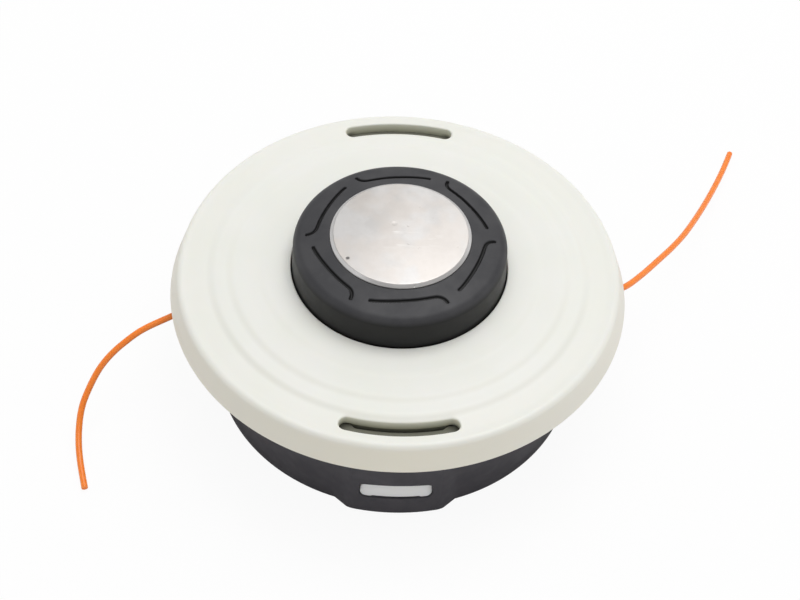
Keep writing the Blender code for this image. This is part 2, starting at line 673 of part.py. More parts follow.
def build_sleeve(name, side, material):
    """A flanged sleeve with flared mouths, its axis along the outlet."""
    wall_radius = wall_outer_radius(OUTLET_HEIGHT)
    flange_start = wall_radius + SEAT_GAP
    flange_end = flange_start + SLEEVE_FLANGE
    tube_start = wall_radius - HOUSING_WALL - SLEEVE_STANDOFF
    outline = rounded((
        (SLEEVE_BORE_RADIUS, tube_start, 0.4 * MM),
        (SLEEVE_RADIUS, tube_start),
        (SLEEVE_RADIUS, flange_start),
        (SLEEVE_FLANGE_RADIUS, flange_start),
        (SLEEVE_FLANGE_RADIUS, flange_end, 0.4 * MM),
        (SLEEVE_BORE_RADIUS, flange_end, 0.8 * MM),
    ), steps=2)
    sleeve = place(name, revolve(name, outline, SLEEVE_SIDES), material)
    sleeve.location = (0.0, 0.0, OUTLET_HEIGHT)
    sleeve.rotation_euler = (0.0, math.radians(90), math.radians(side + OUTLET_ANGLE))
    return sleeve


def build_spring(material, parent):
    """A compression spring whose end turns lie close together."""
    low = SPRING_BOTTOM + SPRING_WIRE / 2
    high = SPRING_TOP - SPRING_WIRE / 2
    end_pitch = SPRING_WIRE + SEAT_GAP
    end_turns = 1.0
    open_turns = SPRING_TURNS - 2 * end_turns
    open_pitch = (high - low - 2 * end_turns * end_pitch) / open_turns
    steps_per_turn = 12
    path = []
    for step in range(round(SPRING_TURNS * steps_per_turn) + 1):
        turn = step / steps_per_turn
        lower = min(turn, end_turns)
        middle = min(max(turn - end_turns, 0.0), open_turns)
        upper = max(turn - end_turns - open_turns, 0.0)
        height = low + (lower + upper) * end_pitch + middle * open_pitch
        path.append(polar(SPRING_RADIUS, 360.0 * turn, height))
    builder = bmesh.new()
    add_tube(builder, path, SPRING_WIRE / 2, 6)
    return place("bump_spring", finish_mesh("bump_spring", builder, 60), material, parent)


def build_spool(material, parent):
    tube = SPOOL_TUBE_RADIUS
    rim = 0.5 * MM
    outline = rounded((
        (STUD_BORE, WEB_BOTTOM),
        (STUD_BORE, SPOOL_TOP),
        (SPOOL_FLANGE_RADIUS, SPOOL_TOP, rim),
        (SPOOL_FLANGE_RADIUS, SPOOL_TOP - SPOOL_FLANGE),
        (tube, SPOOL_TOP - SPOOL_FLANGE),
        (tube, SPOOL_BOTTOM + SPOOL_FLANGE),
        (SPOOL_FLANGE_RADIUS, SPOOL_BOTTOM + SPOOL_FLANGE),
        (SPOOL_FLANGE_RADIUS, SPOOL_BOTTOM, rim),
        (SPOOL_BORE, SPOOL_BOTTOM, rim),
        (SPOOL_BORE, WEB_BOTTOM),
    ), steps=1)
    spool = place("spool", revolve("spool", outline), material, parent)

    # the upper teeth rest against the cover's; the lower ones are half a pitch behind
    pitch = 360.0 / TOOTH_COUNT
    upper_touch = TOOTH_ANGLE + math.degrees(SEAT_GAP / COVER_TEETH[0])
    lower_touch = TOOTH_ANGLE + math.degrees(SEAT_GAP / FLOOR_TEETH[0])
    extra = bmesh.new()
    upper_top = COVER_UNDERSIDE - SEAT_GAP
    add_tooth_ring(extra, COVER_TEETH, SPOOL_TOP - SEAT_GAP, upper_top, -upper_touch)
    lower_bottom = SPOOL_BOTTOM - FLOOR_TOOTH_HEIGHT
    lower_angle = pitch / 2 - lower_touch
    add_tooth_ring(extra, FLOOR_TEETH, lower_bottom, SPOOL_BOTTOM + SEAT_GAP, lower_angle)
    combine(spool, "UNION", "spool_teeth", extra)

    notches = bmesh.new()
    for angle in (60.0, 240.0):
        turn = Matrix.Rotation(math.radians(angle), 2)
        inner = SPOOL_FLANGE_RADIUS - NOTCH_DEPTH
        outer = SPOOL_FLANGE_RADIUS + 1.0 * MM
        half = NOTCH_WIDTH / 2
        corners = ((inner, -half), (outer, -half), (outer, half), (inner, half))
        plan = [turn @ Vector(corner) for corner in corners]
        add_prism(notches, plan, SPOOL_TOP - SPOOL_FLANGE - 1.0 * MM, SPOOL_TOP + 1.0 * MM)
    combine(spool, "DIFFERENCE", "spool_notches", notches)
    return spool


def build_winding(material, parent):
    """The wound line as one ring whose outside shows its turns."""
    bottom = SPOOL_BOTTOM + SPOOL_FLANGE + SEAT_GAP
    top = SPOOL_TOP - SPOOL_FLANGE - SEAT_GAP
    inner = SPOOL_TUBE_RADIUS + SEAT_GAP
    turns = int((top - bottom) / LINE_DIAMETER)
    pitch = (top - bottom) / turns
    outline = [(inner, top), (inner, bottom)]
    groove_depth = 0.25 * LINE_DIAMETER
    for turn in range(turns):
        start = bottom + turn * pitch
        outline.append((WINDING_RADIUS - groove_depth, start))
        outline.append((WINDING_RADIUS, start + pitch / 2))
    outline.append((WINDING_RADIUS - groove_depth, top))
    mesh = revolve("line_winding", outline, WINDING_SIDES, 0)
    return place("line_winding", mesh, material, parent)


def knob_top_height(radius):
    return KNOB_TOP - KNOB_SLOPE * (radius - DISC_RADIUS)


def build_knob(material, parent):
    shoulder = KNOB_RADIUS - KNOB_DRAFT
    web_bottom = DISC_SEAT - KNOB_WALL
    seat_wall = DISC_RADIUS + SEAT_GAP
    outline = rounded((
        (STUD_BORE, KNOB_BOTTOM),
        (STUD_BORE, DISC_SEAT),
        (seat_wall, DISC_SEAT),
        (seat_wall, knob_top_height(seat_wall), 0.3 * MM),
        (shoulder, knob_top_height(shoulder), KNOB_FILLET),
        (KNOB_RADIUS, COVER_TOP),
        (KNOB_RADIUS, KNOB_BOTTOM),
        (KNOB_RADIUS - KNOB_WALL, KNOB_BOTTOM),
        (shoulder - KNOB_WALL, web_bottom, 1.5 * MM),
        (KNOB_BOSS_RADIUS, web_bottom),
        (KNOB_BOSS_RADIUS, KNOB_BOTTOM),
    ), steps=3)
    knob = place("knob_ring", revolve("knob_ring", outline), material, parent)
    grooves = bmesh.new()
    for groove in range(GROOVE_COUNT):
        first_angle = GROOVE_START_ANGLE + 360.0 * groove / GROOVE_COUNT
        path = []
        for angle, radius in GROOVE_PATH:
            height = knob_top_height(radius) + 0.15 * GROOVE_RADIUS
            path.append(polar(radius, first_angle + angle, height))
        add_tube(grooves, path, GROOVE_RADIUS, 8)
    combine(knob, "DIFFERENCE", "knob_grooves", grooves)
    return knob


def build_wear_disc(material, parent):
    """A turned steel disc with a crowned face and a stud behind it."""
    crown_radius = (DISC_RADIUS ** 2 + DISC_CROWN ** 2) / (2 * DISC_CROWN)
    crown_centre = DISC_EDGE + DISC_CROWN - crown_radius
    underside = DISC_EDGE - DISC_THICKNESS
    chamfer = 0.4 * MM
    outline = [
        Vector((0.0, STUD_END)),
        Vector((STUD_RADIUS - chamfer, STUD_END)),
        Vector((STUD_RADIUS, STUD_END + chamfer)),
        Vector((STUD_RADIUS, underside)),
        Vector((DISC_RADIUS - chamfer, underside)),
        Vector((DISC_RADIUS, underside + chamfer)),
    ]
    for step in range(3):
        turn = math.radians(45 * step)
        radius = DISC_RADIUS - DISC_EDGE_ROUND * (1 - math.cos(turn))
        outline.append(Vector((radius, DISC_EDGE - DISC_EDGE_ROUND * (1 - math.sin(turn)))))
    for share in (0.7, 0.35):
        radius = (DISC_RADIUS - DISC_EDGE_ROUND) * share
        outline.append(Vector((radius, crown_centre + math.sqrt(crown_radius ** 2 - radius ** 2))))
    outline.append(Vector((0.0, DISC_EDGE + DISC_CROWN)))
    return place("wear_disc", revolve("wear_disc", outline), material, parent)


def build_knob_nut(material, parent):
    bottom = KNOB_NUT_TOP - KNOB_NUT_HEIGHT
    builder = bmesh.new()
    add_prism(builder, hexagon(KNOB_NUT_FLATS), bottom, KNOB_NUT_TOP)
    nut = place("knob_nut", finish_mesh("knob_nut", builder, 0), material, parent)
    bore = bmesh.new()
    ends = (bottom - 1.0 * MM, KNOB_NUT_TOP + 1.0 * MM)
    add_loft(bore, [circle(STUD_BORE, z) for z in ends])
    combine(nut, "DIFFERENCE", "knob_nut_bore", bore)
    return nut


def build_line(name, route, material):
    """A free line from the winding through its sleeve to the cut end."""
    curve = bpy.data.curves.new(name, "CURVE")
    curve.dimensions = "3D"
    curve.bevel_depth = LINE_DIAMETER / 2
    curve.bevel_resolution = 2
    curve.use_fill_caps = True
    points = smooth_curve(route)
    spline = curve.splines.new("POLY")
    spline.points.add(len(points) - 1)
    for control, point in zip(spline.points, points):
        control.co = (*point, 1.0)
    line = bpy.data.objects.new(name, curve)
    bpy.context.scene.collection.objects.link(line)
    curve.materials.append(material)
    return line


def build():
    clear_scene()
    black_nylon = make_material("black_nylon", (0.028, 0.028, 0.030), 0.48)
    knob_nylon = make_material("knob_nylon", (0.040, 0.040, 0.043), 0.42)
    cream_nylon = make_material("cream_nylon", (0.80, 0.79, 0.72), 0.38)
    spool_nylon = make_material("spool_nylon", (0.045, 0.045, 0.050), 0.5)
    steel = make_material("satin_steel", (0.62, 0.60, 0.58), 0.38, 1.0)
    zinc = make_material("zinc_plate", (0.58, 0.60, 0.62), 0.32, 1.0)
    spring_steel = make_material("spring_steel", (0.40, 0.40, 0.42), 0.35, 1.0)
    orange_line = make_material("orange_line", (0.95, 0.22, 0.05), 0.35)

    build_housing(black_nylon)
    build_cover(cream_nylon)
    build_shaft_nut(zinc)
    seat_inner = NUT_BORE_RADIUS + 1.4 * MM
    seat_outer = COLLAR_BORE - SEAT_GAP
    build_washer("seat_washer", seat_inner, seat_outer, SEAT_WASHER_BOTTOM, SEAT_WASHER_THICKNESS, zinc)
    build_sleeve("line_sleeve_right", 0.0, zinc)
    build_sleeve("line_sleeve_left", 180.0, zinc)
    build_line("line_right", LINE_ROUTE_RIGHT, orange_line)
    build_line("line_left", LINE_ROUTE_LEFT, orange_line)

    # what slides with the knob, and what also turns with the spool
    bump_axis = place("bump_axis", None)
    build_spring(spring_steel, bump_axis)
    thrust_inner = KNOB_WASHER_RADIUS + 1.0 * MM
    thrust_bottom = WEB_BOTTOM - SEAT_GAP - THRUST_WASHER_THICKNESS
    build_washer(
        "thrust_washer", thrust_inner, seat_outer, thrust_bottom,
        THRUST_WASHER_THICKNESS, zinc, bump_axis,
    )
    spool_axis = place("spool_axis", None, parent=bump_axis)
    build_spool(spool_nylon, spool_axis)
    build_winding(orange_line, spool_axis)
    build_knob(knob_nylon, spool_axis)
    build_wear_disc(steel, spool_axis)
    washer_bottom = WEB_BOTTOM - SEAT_GAP - KNOB_WASHER_THICKNESS
    build_washer(
        "knob_washer", STUD_BORE, KNOB_WASHER_RADIUS, washer_bottom,
        KNOB_WASHER_THICKNESS, zinc, spool_axis,
    )
    build_knob_nut(zinc, spool_axis)


build()
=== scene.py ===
"""Dressed model of a bump-feed trimmer head, standing on its shaft side with the knob up."""
import math

import bmesh
import bpy
import numpy as np
from mathutils import Matrix, Vector


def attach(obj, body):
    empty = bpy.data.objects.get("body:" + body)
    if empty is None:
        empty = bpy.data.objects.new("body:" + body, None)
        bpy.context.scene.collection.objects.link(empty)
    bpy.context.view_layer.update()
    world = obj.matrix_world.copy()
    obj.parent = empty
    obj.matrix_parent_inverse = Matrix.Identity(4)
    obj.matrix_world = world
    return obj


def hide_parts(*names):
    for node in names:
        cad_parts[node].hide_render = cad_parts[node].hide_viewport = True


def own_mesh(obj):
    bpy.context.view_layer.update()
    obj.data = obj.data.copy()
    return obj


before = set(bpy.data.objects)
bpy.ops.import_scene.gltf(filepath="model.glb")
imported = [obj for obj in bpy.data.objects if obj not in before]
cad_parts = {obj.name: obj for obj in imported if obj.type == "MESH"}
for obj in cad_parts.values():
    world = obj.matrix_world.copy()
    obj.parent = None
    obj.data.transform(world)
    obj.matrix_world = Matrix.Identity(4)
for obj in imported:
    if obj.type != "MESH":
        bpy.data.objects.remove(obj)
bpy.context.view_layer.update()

MM = 0.001
SEAT_GAP = 0.3                # left between two pieces that touch on the real head
CATCH_SIDES = (-90.0, 90.0)

# housing, in millimetres
FOOT_RADIUS = 56.6
MOUTH_RADIUS = 59.5
HOUSING_HEIGHT = 42.0
HOUSING_WALL = 2.5
FLOOR_BOTTOM = 5.0
FLOOR_TOP = 7.5
HUB_RADIUS = 17.0
HUB_SEAT = 4.0
SHAFT_HOLE_RADIUS = 6.5
NUT_POCKET_TOP = 14.6
NUT_LOW, NUT_HIGH = 4.3, 14.3
NUT_HALF_FLATS = 9.5
NUT_BORE = 5.2
THREAD_PITCH = 1.5
THREAD_DEPTH = 0.75
COLLAR_BORE = 12.7
COLLAR_RADIUS = 16.9
COLLAR_TOP = 30.5
RIB_COUNT = 8
RIB_ENDS = (16.2, 55.7)
RIB_LEVELS = (                # height, half thickness
    (0.8, 0.72), (0.9, 0.88), (1.1, 0.98), (4.3, 1.1), (4.7, 1.25), (5.0, 1.7), (5.8, 1.8),
)
LUG_FACE_RADIUS = 60.6
LUG_FACE_ANGLE = 12.7         # half angles of a lug's face and foot, in degrees
LUG_BASE_ANGLE = 21.0
LUG_BOTTOM = 2.2
POCKET_INNER = 52.4
POCKET_OUTER = 58.5
WINDOW_ANGLE = 10.4           # half angle
WINDOW_BOTTOM = 10.55
WINDOW_TOP = 16.6
WINDOW_CROWN = 0.4            # rise of its top edge in the middle
WINDOW_CORNER = 1.9
HOOK_LEAN = 0.26              # slope of the hook's face, inwards as it rises
HOOK_GAP = 0.12

# cover
COVER_RADIUS = 69.6
COVER_BOTTOM = 36.9
COVER_TOP = 47.0
COVER_HOLE = 32.8
COVER_STEPS = ((42.3, 0.2, 3.0), (51.1, 0.45, 3.2), (56.8, 0.55, 3.2))   # radius, drop, width
# painted shade in the face's steps, strongest on the front side
COVER_STEP_SHADE = ((42.0, 0.06), (51.0, 0.15), (56.8, 0.20))                  # radius, share
COVER_FALL = 0.02
COVER_LEDGE = 42.3
COVER_UNDERSIDE = 43.4
COVER_LAND = (62.8, 66.0, 0.3)                # from and to radius, rise
COVER_FACE_START = 34.6
FLANK_TOP_RADIUS = 66.6
SKIRT_WALL = 2.4
SPIGOT_INNER = 54.3
SPIGOT_OUTER = 56.5
SPIGOT_BOTTOM = 38.1
SLOT_INNER = 58.2
SLOT_OUTER = 62.6
SLOT_ANGLE = 16.4
TAB_OUTER = 58.0
TAB_ANGLE = 14.0
SHELF_TOP = 41.8
SHELF_ANGLE = 16.6
SHELF_INNER = 59.0
SHELF_OUTER = 66.0
SHELF_EAR = 0.85              # how far its ends reach further in

# ratchet rings
TOOTH_COUNT = 12
TOOTH_HALF_ANGLE = 3.25
FLOOR_TEETH = (21.0, 27.0)
FLOOR_TEETH_TOP = 10.7
COVER_TEETH = (36.0, 42.0)

# knob and wear disc
KNOB_RADIUS = 32.45
KNOB_SHOULDER = 31.95
KNOB_TOP = 59.6
KNOB_SLOPE = 0.19
KNOB_BOTTOM = 40.7
KNOB_FILLET = 3.2
KNOB_WALL = 2.6
KNOB_CEILING = 54.7
KNOB_BOSS_RADIUS = 10.0
KNOB_FACE = (22.6, 29.3)      # radii between which the grooves lie
SEAT_FLOOR = 57.3
DISC_RADIUS = 21.05
DISC_BEVEL = 1.0
DISC_GAP = 0.1
DISC_EDGE = 60.6
DISC_CROWN = 0.8
DISC_UNDERSIDE = 57.6
STUD_RADIUS = 4.0
STUD_END = 27.5
GROOVE_COUNT = 6
GROOVE_START = -109.7
GROOVE_WIDTH = 1.1
GROOVE_DEPTH = 0.75
GROOVE_PATH = (               # angle from the plain end, radius
    (0.0, 26.2), (11.0, 25.3), (22.0, 24.8), (33.0, 24.8),
    (42.0, 25.1), (45.5, 25.6), (47.6, 26.6), (48.5, 27.9),
)

# bump spring
SPRING_LOW, SPRING_HIGH = 16.2, 35.5
SPRING_WIRE = 1.8
SPRING_RADIUS = 10.8
SPRING_TURNS = 5.5

# outlets and lines
OUTLET_ANGLE = 3.0
OUTLET_HEIGHT = 30.3
OUTLET_RADIUS = 3.7
OUTLET_REACH = (49.0, 68.0)
SLEEVE_BORE = 2.3
SLEEVE_RADIUS = 3.4
SLEEVE_FLANGE = 5.2
LINE_DIAMETER = 2.0
LINE_ROUTES = {
    "right": (
        (44.3, -17.0, 30.3), (46.0, -12.2, 30.3), (48.4, -6.8, 30.3), (51.8, -1.3, 30.3),
        (56.2, 2.0, 30.3), (61.0, 4.0, 30.3), (66.2, 5.7, 30.0), (71.5, 7.9, 29.2),
        (77.8, 15.0, 26.9), (84.4, 23.9, 24.0), (90.6, 32.8, 20.8), (96.2, 42.0, 17.3),
        (101.6, 52.4, 13.4), (106.0, 61.4, 10.1), (110.7, 71.5, 6.8), (114.8, 80.6, 4.3),
        (118.5, 89.2, 2.5), (121.8, 97.4, 1.2),
    ),
    "left": (
        (-44.3, 17.0, 30.3), (-46.0, 12.2, 30.3), (-48.4, 6.8, 30.3), (-51.8, 1.3, 30.3),
        (-56.2, -2.0, 30.3), (-61.0, -4.1, 30.3), (-65.4, -5.9, 29.9), (-69.1, -7.4, 28.9),
        (-77.8, -10.7, 26.2), (-83.6, -13.7, 23.2), (-88.3, -16.6, 19.8), (-91.8, -19.8, 16.2),
        (-94.8, -24.5, 12.0), (-96.4, -28.6, 8.9), (-96.9, -33.7, 5.9), (-96.5, -39.3, 3.7),
        (-95.3, -45.3, 2.2), (-93.4, -52.5, 1.2),
    ),
}

# the photograph's viewpoint, in millimetres and degrees
CAMERA_PLACE = (-13.19, -332.25, 420.955)
CAMERA_LENS = 74.475
CAMERA_TURN = -2.405
CAMERA_DIP = 49.62
CAMERA_ROLL = 3.01
AIM_HEIGHT = 40.0             # what the lamps point at
WORLD_LIGHT = 0.36
FLOOR_GLOW = 0.93             # how much of what the camera sees of the floor is plain white


# ---- mesh making -------------------------------------------------------------------------


def smoothstep(low, high, value):
    """0 at low, 1 at high, smooth between. low may be the larger of the two."""
    share = np.clip((np.asarray(value, float) - low) / (high - low), 0.0, 1.0)
    return share * share * (3.0 - 2.0 * share)


def soft_min(first, second, blend):
    """The smaller of two values, rounded over where they are closer than blend."""
    share = np.clip(0.5 + 0.5 * (second - first) / blend, 0.0, 1.0)
    return second + (first - second) * share - blend * share * (1.0 - share)


def soft_max(first, second, blend):
    """The larger of two values, rounded over in the same way."""
    return -soft_min(-np.asarray(first), -np.asarray(second), blend)


def polar(radius, degrees, height=0.0):
    """A point at an angle round Z, as x, y and height."""
    angle = math.radians(degrees)
    return (radius * math.cos(angle), radius * math.sin(angle), height)


def rounded(corners, steps=6, guard=0.25):
    """Outline points of (radius, height[, fillet]) corners.

    A point beside each fillet, up to guard away, keeps the flats flat in smooth shading.
    """
    points = []
    for index, corner in enumerate(corners):
        here = np.array(corner[:2], float)
        fillet = corner[2] if len(corner) > 2 else 0.0
        if fillet <= 0.0:
            points.append(here)
            continue
        back = np.array(corners[index - 1][:2]) - here
        ahead = np.array(corners[(index + 1) % len(corners)][:2]) - here
        room = min(np.linalg.norm(back), np.linalg.norm(ahead))
        back = back / np.linalg.norm(back)
        ahead = ahead / np.linalg.norm(ahead)
        half_angle = math.acos(np.clip(back @ ahead, -1.0, 1.0)) / 2
        reach = fillet / math.tan(half_angle)
        middle = (back + ahead) / np.linalg.norm(back + ahead)
        centre = here + middle * fillet / math.sin(half_angle)
        margin = min(guard, max(room - reach, 0.0) * 0.4)
        points.append(here + back * (reach + margin))
        for step in range(steps + 1):
            share = step / steps
            spoke = here + (back * (1 - share) + ahead * share) * reach - centre
            points.append(centre + spoke / np.linalg.norm(spoke) * fillet)
        points.append(here + ahead * (reach + margin))
    return points


def build(name, points, faces, crease=32.0):
    """A mesh piece from points in millimetres, faces turned outwards."""
    mesh = bpy.data.meshes.new(name)
    mesh.from_pydata((np.asarray(points, float) * MM).tolist(), [], faces)
    editing = bmesh.new()
    editing.from_mesh(mesh)
    bmesh.ops.recalc_face_normals(editing, faces=editing.faces)
    editing.to_mesh(mesh)
    editing.free()
    mesh.shade_smooth()
    mesh.set_sharp_from_angle(angle=math.radians(crease))
    piece = bpy.data.objects.new(name, mesh)
    bpy.context.scene.collection.objects.link(piece)
    return piece


def lathe(name, outline, sides=288, turns=None, shape=None, crease=32.0):
    """Turn an outline round Z. shape(radius, height, angles) may move each ring's points."""
    angles = np.arange(sides) * (math.tau / sides) if turns is None else np.radians(turns)
    count = len(angles)
    points = []
    rings = []
    for radius, height in outline:
        start = len(points)
        if radius < 1e-6:
            points.append((0.0, 0.0, height))
            rings.append([start])
            continue
        radii, heights = shape(radius, height, angles) if shape else (radius, height)
        ring = np.empty((count, 3))
        ring[:, 0] = radii * np.cos(angles)
        ring[:, 1] = radii * np.sin(angles)
        ring[:, 2] = heights
        points.extend(ring.tolist())
        rings.append(list(range(start, start + count)))
    pairs = list(zip(rings, rings[1:]))
    if len(rings[0]) > 1:
        pairs.append((rings[-1], rings[0]))
    faces = []
    for lower, upper in pairs:
        for side in range(count):
            beside = (side + 1) % count
            corners = (
                lower[side % len(lower)], lower[beside % len(lower)],
                upper[beside % len(upper)], upper[side % len(upper)],
            )
            faces.append(tuple(dict.fromkeys(corners)))
    return build(name, points, faces, crease)


def solids(name, bodies, crease=32.0):
    """One mesh of closed bodies, each lofted through sections with the same number of points."""
    points = []
    faces = []
    for sections in bodies:
        count = len(sections[0])
        for level, section in enumerate(sections):
            start = len(points)
            points.extend(section)
            if level:
                for side in range(count):
                    beside = (side + 1) % count
                    faces.append((
                        start - count + side, start - count + beside,
                        start + beside, start + side,
                    ))
            else:
                faces += strip_cap(start, count)
        faces += strip_cap(len(points) - count, count)
    return build(name, points, faces, crease)


def strip_cap(start, count):
    """Close a loop with quads between points that face each other across it."""
    half = count // 2
    last = start + count - 1
    return [(start + k, start + k + 1, last - k - 1, last - k) for k in range(half - 1)]


def settle(piece, crease=32.0):
    """Apply a piece's modifiers and mark its sharp edges again."""
    drawn = piece.evaluated_get(bpy.context.evaluated_depsgraph_get())
    mesh = bpy.data.meshes.new_from_object(drawn)
    piece.modifiers.clear()
    piece.data = mesh
    mesh.shade_smooth()
    mesh.set_sharp_from_angle(angle=math.radians(crease))


def work(piece, operation, tool, crease=32.0):
    """Join a tool to a piece (UNION), cut it away (DIFFERENCE) or keep what both share."""
    step = piece.modifiers.new("work", "BOOLEAN")
    step.operation = operation
    step.solver = "EXACT"
    step.object = tool
    settle(piece, crease)
    bpy.data.objects.remove(tool, do_unlink=True)


def rounded_box(half, low, high, corner, grow=0.0, steps=6, columns=24):
    """Loop of a round-cornered box: out along its high side and back along its low side."""
    half, low, high = half + grow, low - grow, high + grow
    corner = max(min(corner + grow, (high - low) / 2 - 0.01), 0.02)
    turns = np.radians(np.linspace(0.0, 90.0, steps + 1))
    inset = corner * (1.0 - np.cos(turns))
    drop = corner * (1.0 - np.sin(turns))
    middle = np.linspace(-half + corner, half - corner, columns + 2)[1:-1]
    along = np.concatenate([-half + inset, middle, (half - inset)[::-1]])
    fall = np.concatenate([drop, np.zeros(columns), drop[::-1]])
    upper = list(zip(along, high - fall))
    return upper + list(zip(along[::-1], low + fall[::-1]))


def arc_plate(side, half_angle, inner, outer, levels, corner=0.5, steps=6):
    """Sections of an arc-shaped plate. levels are (height, how far its outline grows)."""
    middle = (inner + outer) / 2
    half = math.radians(half_angle) * middle
    return [
        [
            polar(radius, side + math.degrees(along / middle), height)
            for along, radius in rounded_box(half, inner, outer, corner, grow, steps)
        ]
        for height, grow in levels
    ]


def window_loop(gap, grow):
    """The window's outline, drawn in by a gap: (along the wall, height, share of its rise)."""
    half = math.radians(WINDOW_ANGLE) * LUG_FACE_RADIUS - gap
    low = WINDOW_BOTTOM + gap
    high = WINDOW_TOP - gap
    loop = []
    for along, height in rounded_box(half, low, high, WINDOW_CORNER - gap, grow, columns=72):
        rise = (height - low) / (high - low)
        if rise > 0.5:
            height += WINDOW_CROWN * max(1.0 - (along / half) ** 2, 0.0)
        loop.append((along, height, rise))
    return loop


def window_sections(side):
    """The opening in the wall for a hook, with a soft outer edge."""
    return [
        [
            polar(radius, side + math.degrees(along / LUG_FACE_RADIUS), height)
            for along, height, _ in window_loop(0.0, grow)
        ]
        for radius, grow in ((56.5, 0.0), (60.25, 0.0), (60.45, 0.05), (60.6, 0.2), (61.2, 0.9))
    ]


def smooth_curve(route, spacing):
    """Points at even steps along a smooth curve through a route."""
    knots = np.array(route, float)
    ends = np.vstack([2 * knots[0] - knots[1], knots, 2 * knots[-1] - knots[-2]])
    fine = []
    for before, start, end, after in zip(ends, ends[1:], ends[2:], ends[3:]):
        for step in range(24):
            t = step / 24
            fine.append(0.5 * (
                2 * start + (end - before) * t
                + (2 * before - 5 * start + 4 * end - after) * t ** 2
                + (3 * start - before - 3 * end + after) * t ** 3
            ))
    fine = np.array(fine + [knots[-1]])
    lengths = np.concatenate([[0.0], np.cumsum(np.linalg.norm(np.diff(fine, axis=0), axis=1))])
    steps = round(lengths[-1] / spacing)
    wanted = np.linspace(0.0, lengths[-1], steps + 1)
    columns = [np.interp(wanted, lengths, fine[:, axis]) for axis in range(fine.shape[1])]
    return np.stack(columns, 1), lengths[-1]


def tube_sections(path, radius, sides):
    """Round sections along a path, for solids."""
    path = np.asarray(path, float)
    sections = []
    for index, point in enumerate(path):
        ahead = path[min(index + 1, len(path) - 1)] - path[max(index - 1, 0)]
        ahead = ahead / np.linalg.norm(ahead)
        across = np.cross(ahead, (0.0, 0.0, 1.0))
        across = across / np.linalg.norm(across)
        rise = np.cross(across, ahead)
        turns = np.arange(sides) * math.tau / sides
        circle = np.outer(np.cos(turns), across) + np.outer(np.sin(turns), rise)
        sections.append((point + radius * circle).tolist())
    return sections


# ---- finishes ----------------------------------------------------------------------------


class Signal:
    """A shader value; arithmetic on it adds Math nodes."""

    def __init__(self, finish, socket):
        self.finish = finish
        self.socket = socket

    def maths(self, operation, *values):
        sockets = dict(enumerate(values))
        return self.finish.node("ShaderNodeMath", {"operation": operation}, sockets)

    def __add__(self, other):
        return self.maths("ADD", self, other)

    def __sub__(self, other):
        return self.maths("SUBTRACT", self, other)

    def __rsub__(self, other):
        return self.maths("SUBTRACT", other, self)

    def __mul__(self, other):
        return self.maths("MULTIPLY", self, other)

    def __truediv__(self, other):
        return self.maths("DIVIDE", self, other)

    def __pow__(self, other):
        return self.maths("POWER", self, other)

    __radd__ = __add__
    __rmul__ = __mul__

    def between(self, low, high):
        """0 below low, 1 above high, smooth between."""
        settings = {"interpolation_type": "SMOOTHSTEP"}
        return self.finish.node("ShaderNodeMapRange", settings, {0: self, 1: low, 2: high})


class Finish:
    """One material. Uniform values are set on the shader; nodes feed what varies."""

    def __init__(self, name, **values):
        self.material = bpy.data.materials.new(name)
        self.material.use_nodes = True
        self.tree = self.material.node_tree
        self.shader = self.tree.nodes["Principled BSDF"]
        for socket, value in values.items():
            self.set(socket.replace("_", " "), value)

    def set(self, socket, value):
        target = next(s for s in self.shader.inputs if s.name.lower() == socket.lower())
        if isinstance(value, Signal):
            self.tree.links.new(value.socket, target)
        else:
            target.default_value = value

    def node(self, kind, settings=None, sockets=None, output=0):
        made = self.tree.nodes.new(kind)
        for key, value in (settings or {}).items():
            if key == "stops":
                ramp = made.color_ramp.elements
                while len(ramp) < len(value):
                    ramp.new(0.5)
                for stop, (place, colour) in zip(ramp, value):
                    stop.position = place
                    stop.color = (*colour, 1.0)
            else:
                setattr(made, key, value)
        for key, value in (sockets or {}).items():
            if isinstance(value, Signal):
                self.tree.links.new(value.socket, made.inputs[key])
            else:
                made.inputs[key].default_value = value
        return Signal(self, made.outputs[output])

    def place(self):
        """Where a point is on the piece, in metres."""
        return self.node("ShaderNodeTexCoord", output="Object")

    def parts(self, vector):
        """X, Y and Z of a vector."""
        split = self.tree.nodes.new("ShaderNodeSeparateXYZ")
        self.tree.links.new(vector.socket, split.inputs[0])
        return [Signal(self, socket) for socket in split.outputs]

    def noise(self, size, detail=3.0, roughness=0.55, where=None):
        """Noise from 0 to 1 whose blobs are about size millimetres across."""
        sockets = {
            "Vector": where or self.place(), "Scale": 1.0 / (size * MM),
            "Detail": detail, "Roughness": roughness,
        }
        return self.node("ShaderNodeTexNoise", None, sockets)

    def mix(self, factor, first, second):
        """A colour between two."""
        first = first if isinstance(first, Signal) else (*first, 1.0)
        second = second if isinstance(second, Signal) else (*second, 1.0)
        settings = {"data_type": "RGBA"}
        return self.node("ShaderNodeMix", settings, {0: factor, 6: first, 7: second}, 2)

    def relief(self, height, depth, strength=1.0, below=None):
        """Bump from a height of 0 to 1 that stands for depth millimetres."""
        sockets = {"Height": height, "Distance": depth * MM, "Strength": strength}
        if below:
            sockets["Normal"] = below
        return self.node("ShaderNodeBump", None, sockets)


